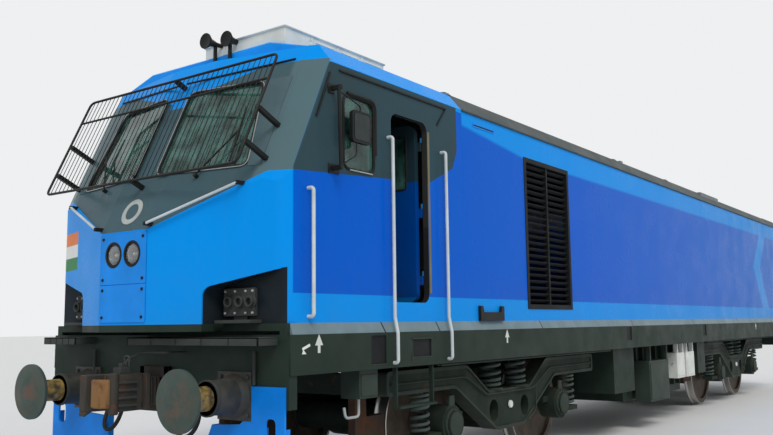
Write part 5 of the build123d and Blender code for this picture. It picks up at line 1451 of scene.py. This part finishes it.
# %% Sill faces
HOLLOWS = (
    (1.640, 1.860, 1.290, 1.545), (2.270, 2.580, 1.330, 1.500), (7.690, 7.890, 1.355, 1.558),
    (11.460, 11.660, 1.355, 1.558),
)
HOLLOW_LAP = 0.004
MARK = (
    ((-0.050, 0.018), (0.040, 0.050), (0.047, 0.030), (-0.043, -0.002)),
    ((-0.052, -0.030), (0.000, -0.030), (-0.034, 0.004)),
)
sill_loops = [frame_of(0.622, 18.898, 1.257, 1.568)]
sill_loops += [frame_of(*hollow, 0.012) for hollow in HOLLOWS]
for side, name in HANDS:
    plate(f"sill_face_{name}", sill_loops, (0, side * 1.556, 0), 0.014, "sill_paint")
lips, dark = Form(), Form()
for x0, x1, z0, z1 in HOLLOWS:
    lips.box_pair(((x0, x1), (1.552, 1.566), (z0, z0 + 0.010)))
    # Painted shade: thin black backs fill each opening, so that the shallow hollows look deep.
    dark.box_pair((
        (x0 - HOLLOW_LAP, x1 + HOLLOW_LAP), (1.5502, 1.5512), (z0 - HOLLOW_LAP, z1 + HOLLOW_LAP),
    ))
x0, x1, z0, z1 = HOLLOWS[1]
lips.box_pair(((x0 - 0.012, x1 + 0.012), (1.560, 1.572), (z1, z1 + 0.014)))
lips.prism_pair([(x0 - 0.03, z0 - 0.03), (x0, z0), (x0, z0 + 0.05)], 1.560, 0.010)
dark.done("hollow_shade_backs", "grille_black", slot="frame_green", bevel=0)
for side, name in HANDS:
    plate(f"sill_mark_{name}", MARK, (0.800, side * 1.564, 1.448), 0.003, "white_paint")
lips.done("hollow_lips", "bogie_edge", bevel=0.001)

# %% [markdown]
# The grille is a sheet frame with fixed slats, and a flange stands round it where it is bolted
# to the side. Near the roof a short slot lets air into the cab's cooling duct, and a black sheet
# in the slot is painted shade inside the duct.

# %% Grille flange and slot
flange_loops = [frame_of(4.700, 5.939, 1.794, 3.589), frame_of(4.752, 5.887, 1.846, 3.537)]
slot_loops = [frame_of(3.520, 4.000, 3.740, 3.780, 0.015), frame_of(3.535, 3.985, 3.752, 3.768, 0.006)]
for side, name in HANDS:
    plate(f"grille_flange_{name}", flange_loops, (0, side * 1.522, 0), 0.012, "grille_black")
    plate(f"duct_slot_{name}", slot_loops, (0, side * 1.521, 0), 0.010, "azure_plain")
# Painted shade: a black sheet fills the slot, standing for the shade inside the duct.
slots = Form()
slots.box_pair(((3.533, 3.987), (1.518, 1.522), (3.750, 3.770)))
slots.done("duct_shade", "grille_black", bevel=0)

# %% [markdown]
# Each door has a pane in its hole, with a rubber round it on both faces. A point of a leaf is
# given by its distances along and outside its hinge, so that one recipe dresses the open, the
# shut and the gangway door. The opening has a jamb of brownish rubber on its rear edge, and the
# brackets on the ledge behind it have two horns for a lifting beam.

# %% Door trim
HINGE = (2.642, 1.436)
OPEN_ANGLE = math.radians(88)
LEAF_MIDDLE = 0.059          # the leaf's middle plane lies this far outside its hinge
LEAF_HALF = 0.025
PANE_LAP = 0.004             # the pane is thicker and wider than its hole by this much each way
CAB_PANE = (0.117, 0.512), (2.960, 3.480)


def swung(along, out):
    """A point of the open near door, from its distance along and outside the hinge."""
    return (
        HINGE[0] - along * math.cos(OPEN_ANGLE) - out * math.sin(OPEN_ANGLE),
        -HINGE[1] + along * math.sin(OPEN_ANGLE) - out * math.cos(OPEN_ANGLE),
    )


def shut(along, out):
    """The same for the far door, which is shut."""
    return (HINGE[0] - along, HINGE[1] + out)


def end_leaf(along, out):
    """The same for the gangway door, with its distance from the middle."""
    return (18.816 + out, along)


def leaf_pane(body, leaf, sides, heights):
    """A pane in its hole, with a rubber round it on both faces."""
    pane, rings = Form(), []
    near, far = LEAF_MIDDLE - PANE_LAP, LEAF_MIDDLE + PANE_LAP
    inside, outside = leaf(sides[0], near), leaf(sides[0], far)
    start, end = leaf(sides[0] - PANE_LAP, near), leaf(sides[1] + PANE_LAP, near)
    z0, z1 = heights[0] - PANE_LAP, heights[1] + PANE_LAP
    outline = [(*start, z0), (*end, z0), (*end, z1), (*start, z1)]
    pane.prism(outline, (outside[0] - inside[0], outside[1] - inside[1], 0))
    pane.done(f"{body}_pane", "tinted_glass", body, bevel=0)
    for out in (LEAF_MIDDLE - LEAF_HALF, LEAF_MIDDLE + LEAF_HALF):
        low, high = leaf(sides[0], out), leaf(sides[1], out)
        rings.append(bent([(*low, z0), (*high, z0), (*high, z1), (*low, z1)], 0.05, closed=True))
    tube(f"{body}_rubber", rings, 0.009, "rubber", body, closed=True)


leaf_pane("door_left", swung, *CAB_PANE)
leaf_pane("door_right", shut, *CAB_PANE)
leaf_pane("door_rear", end_leaf, (-0.160, 0.160), (2.850, 3.350))
jambs, brackets = Form(), Form()
jambs.box_pair(((2.632, 2.664), (1.519, 1.527), (1.930, 3.520)))
jambs.done("door_jambs", "jamb_tan", bevel=0.002)
bracket = [(3.550, 1.662), (4.060, 1.662), (4.060, 1.820), (4.010, 1.820), (3.990, 1.755)]
bracket += [(3.620, 1.755), (3.600, 1.820), (3.550, 1.820)]
brackets.prism_pair(bracket, 1.522, 0.036)
brackets.done("lift_brackets", "black_metal", replaces="lifting_brackets")

# %% [markdown]
# The roof is a row of hatches that lift off to reach the machines. Its crest stands a little
# over the shoulders, and each joint is covered by a strip. Four round cowls cover the fans.

# %% Roof
ROOF_SECTION = (
    (-1.372, 4.052), (-1.340, 4.085), (-0.820, 4.150), (0.820, 4.150), (1.340, 4.085), (1.372, 4.052),
)
BROW_SECTION = ((-1.340, 4.045), (-0.820, 4.188), (0.820, 4.188), (1.340, 4.045))
BROW_REAR = 3.290
ROOF_TOP = 4.150
BLADES = 9
BLADE_RISE = Vector((0, 0, 0.02))
brow, crest, covers, cowls, blades, lockers = Form(), Form(), Form(), Form(), Form(), Form()
brow.loft(
    [place(raked_x(y, z) + 0.004, y, z) for y, z in BROW_SECTION],
    [place(BROW_REAR, y, z) for y, z in BROW_SECTION],
)
brow.done("cab_brow", "azure_brow", bevel=0.012)
for x0, x1 in ((3.300, 8.096), (8.104, 12.890), (17.704, 18.838)):
    crest.prism([(x0, y, z) for y, z in ROOF_SECTION], (x1 - x0, 0, 0))
crest.done("roof_crests", "roof_grey", bevel=0.01)
for x in (3.300, 8.100, 10.500):
    covers.prism([(x - 0.045, y * 1.004, z + 0.012) for y, z in ROOF_SECTION], (0.090, 0, 0))
covers.done("roof_covers", "roof_pale", bevel=0.004)
for x in (4.900, 6.900, 10.000, 12.000):
    cowls.turned(
        [(0.500, 0), (0.520, 0.006), (0.520, 0.035), (0.460, 0.040), (0.450, 0.020), (0.450, 0.002)],
        (x, 0, ROOF_TOP), UPRIGHT, 48,
    )
    cowls.turned([(0, 0), (0.110, 0), (0.110, 0.040), (0, 0.048)], (x, 0, ROOF_TOP), UPRIGHT)
    for index in range(BLADES):
        angle = 2 * math.pi * index / BLADES
        out = Vector((math.cos(angle), math.sin(angle), 0))
        across = Vector((-out.y, out.x, 0))
        hub = Vector((x, 0, ROOF_TOP + 0.010))
        root, tip = hub + out * 0.09, hub + out * 0.45
        blades.prism([
            root - across * 0.03, tip - across * 0.07,
            tip + across * 0.07 + BLADE_RISE, root + across * 0.03 + BLADE_RISE,
        ], (0, 0, 0.004))
cowls.done("fan_cowls", "roof_pale", bevel=0.002)
blades.done("fan_blades", "roof_grey", bevel=0)
lockers.box_pair(
    ((12.400, 13.600), (1.150, 1.400), (3.990, 4.095)), ((12.440, 12.980), (1.180, 1.380), (4.093, 4.103)),
    ((13.020, 13.560), (1.180, 1.380), (4.093, 4.103)), ((8.330, 8.430), (1.280, 1.350), (4.040, 4.110)),
)
lockers.done("roof_lockers", "roof_pale")
tube("roof_gutters", pair([(3.30, 1.528, 3.874), (18.86, 1.528, 3.874)]), 0.012, "roof_grey")

# %% [markdown]
# Over the cab sits the cooling unit. Its lid overhangs, and louvres in its sides let the warm
# air out. The horns stand behind the brow and point forward.

# %% Cooling unit's lid, louvres and horns
COOLER_X, COOLER_Y = (1.200, 2.700), (-0.950, 0.100)      # it stands towards the near side
LID_OUT, RIB_OUT = 0.018, 0.006
HORN_HEIGHT = 4.305
lid, case, louvres, horns = Form(), Form(), Form(), Form()
lid.box(
    (COOLER_X[0] - LID_OUT, COOLER_X[1] + LID_OUT), (COOLER_Y[0] - LID_OUT, COOLER_Y[1] + LID_OUT),
    (4.322, 4.342),
)
lid.done("cooler_lid", "off_white", bevel=0.010)
case.box(COOLER_X, COOLER_Y, (4.100, 4.324))
for x in (1.560, 1.940, 2.320):
    case.box((x, x + 0.024), (COOLER_Y[0] - RIB_OUT, COOLER_Y[1] + RIB_OUT), (4.120, 4.322))
case.done("cooler_case", "off_white", replaces="aircon_unit")
for side, y in zip(SIDES, COOLER_Y):
    for x in (1.620, 2.000, 2.380):
        for z in (4.215, 4.245, 4.275):
            louvres.prism([(x, y, z), (x, y, z + 0.020), (x, y + side * 0.014, z + 0.003)], (0.260, 0, 0))
louvres.done("cooler_louvres", "off_white", bevel=0)
for x, y in ((0.985, -0.130), (1.060, -0.330)):
    horns.turned(
        [(0, 0.012), (0.068, 0.004), (0.075, 0), (0.075, 0.010), (0.040, 0.060), (0.022, 0.140),
         (0.016, 0.270), (0.026, 0.275), (0.026, 0.330), (0, 0.330)], (x, y, HORN_HEIGHT), ALONG, 32,
    )
    horns.box((1.100, 1.130), (y - 0.012, y + 0.012), (4.100, 4.310))
    horns.box((1.080, 1.150), (y - 0.045, y + 0.045), (4.100, 4.116))
horns.done("horn_pair", "black_metal", bevel=0.001, replaces="horns")
print("roof dressed")

# %% [markdown]
# In the roof's well stand the main switch and a surge arrester on ribbed insulators. An
# insulator's sheds make the way long for a current that creeps over its wet skin.

# %% Roof gear
WELL_FLOOR = 3.700
SWITCH_BASE = 3.790


def insulator(form, x, y, low, high, radius=0.062):
    """A post with sheds."""
    tall = high - low
    count = max(4, int(tall / 0.045))
    profile = [(0, 0), (radius * 0.9, 0), (radius * 0.9, 0.012)]
    for index in range(count):
        z = 0.016 + index * (tall - 0.034) / count
        profile += [(radius * 0.55, z), (radius * 1.1, z + 0.010), (radius * 0.6, z + 0.024)]
    profile += [(radius * 0.8, tall - 0.012), (radius * 0.8, tall), (0, tall)]
    form.turned(profile, (x, y, low), UPRIGHT)


sheds, metal = Form(), Form()
metal.box((13.700, 14.300), (-0.330, 0.330), (WELL_FLOOR, SWITCH_BASE))
for x in (13.820, 14.180):
    insulator(sheds, x, 0, SWITCH_BASE, 4.030)
metal.turned([(0, -0.24), (0.045, -0.24), (0.045, 0.24), (0, 0.24)], (14.000, 0, 4.050), ALONG)
insulator(sheds, 14.200, -0.700, WELL_FLOOR, 4.080, 0.07)
sheds.done("switch_insulators", "porcelain", bevel=0)
metal.done("main_switch", "roof_pale")

# %% [markdown]
# The crew's seats have a foam cushion and back under cloth. A cushion bulges in the middle and
# is drawn in along its seam, so each is a rounded box whose faces are pushed out most where
# they are farthest from the edge.

# %% Seats
SEAT_Y = 0.640


def cushion(name, middle, size, crown):
    """A crowned pad: a subdivided box, each face raised towards its middle."""
    solid = bmesh.new()
    bmesh.ops.create_cube(solid, size=2.0)
    bmesh.ops.subdivide_edges(solid, edges=solid.edges, cuts=7, use_grid_fill=True)
    for vertex in solid.verts:
        u = vertex.co.copy()
        face_axis = max(range(3), key=lambda index: abs(u[index]))
        bulge = 1.0
        for index in range(3):
            if index != face_axis:
                bulge *= 1 - u[index] ** 4
        flat = Vector([u[index] * size[index] / 2 for index in range(3)])
        corner = sum(abs(u[index]) ** 6 for index in range(3))
        flat *= 1 - 0.035 * max(corner - 1, 0)
        flat[face_axis] += math.copysign(crown * bulge, u[face_axis])
        vertex.co = place(*middle) + flat
    mesh = bpy.data.meshes.new(name)
    solid.to_mesh(mesh)
    solid.free()
    mesh.shade_smooth()
    piece = bpy.data.objects.new(name, mesh)
    rounder = piece.modifiers.new("rounder", "SUBSURF")
    rounder.levels = 1
    rounder.render_levels = 1
    settle(piece, "seat_cloth", "carbody", None)


for side, name in HANDS:
    cushion(f"seat_{name}", (1.745, side * SEAT_Y, 2.120), (0.43, 0.44, 0.075), 0.016)
    cushion(f"backrest_{name}", (1.995, side * SEAT_Y, 2.470), (0.070, 0.41, 0.64), 0.014)
stand = Form()
stand.turned_pair(
    [(0, 0), (0.200, 0), (0.190, 0.030), (0.055, 0.035), (0.045, 0.400), (0, 0.400)],
    (1.750, SEAT_Y, 1.660), UPRIGHT, 28,
)
for stations, half, heights in (
    ((1.560, 1.950), 0.19, (2.055, 2.078)), ((2.022, 2.036), 0.05, (2.060, 2.600)),
    ((1.900, 2.036), 0.05, (2.050, 2.070)),
):
    stand.box_pair((stations, (SEAT_Y - half, SEAT_Y + half), heights))
stand.done("seat_stands", "black_metal", replaces="driver_seats")
print("seats", 2)

# %% [markdown]
# The floor is a plain pale sheet that catches the shadow. It isn't part of the locomotive.

# %% Floor
FLOOR_HALF = 150
floor_mesh = bpy.data.meshes.new("floor")
floor_mesh.from_pydata([
    (-FLOOR_HALF, -FLOOR_HALF, 0), (FLOOR_HALF, -FLOOR_HALF, 0), (FLOOR_HALF, FLOOR_HALF, 0),
    (-FLOOR_HALF, FLOOR_HALF, 0),
], [], [(0, 1, 2, 3)])
floor = bpy.data.objects.new("floor", floor_mesh)
scene.collection.objects.link(floor)
floor_paint = Paint("floor_paint", 0.9)
floor_paint.color(floor_paint.mix(floor_paint.noise(0.8), (0.70, 0.71, 0.71), (0.74, 0.74, 0.73)))
floor_mesh.materials.append(floor_paint.material)
floor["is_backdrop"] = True

# %% [markdown]
# The corners of every shown piece are gathered, in the frame's numbers. Paint and trim may
# stand proud by centimetres, and nothing may grow beyond that.

# %% Sizes
bpy.context.view_layer.update()
corners = []
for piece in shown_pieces():
    corners += [piece.matrix_world @ Vector(corner) for corner in piece.bound_box]
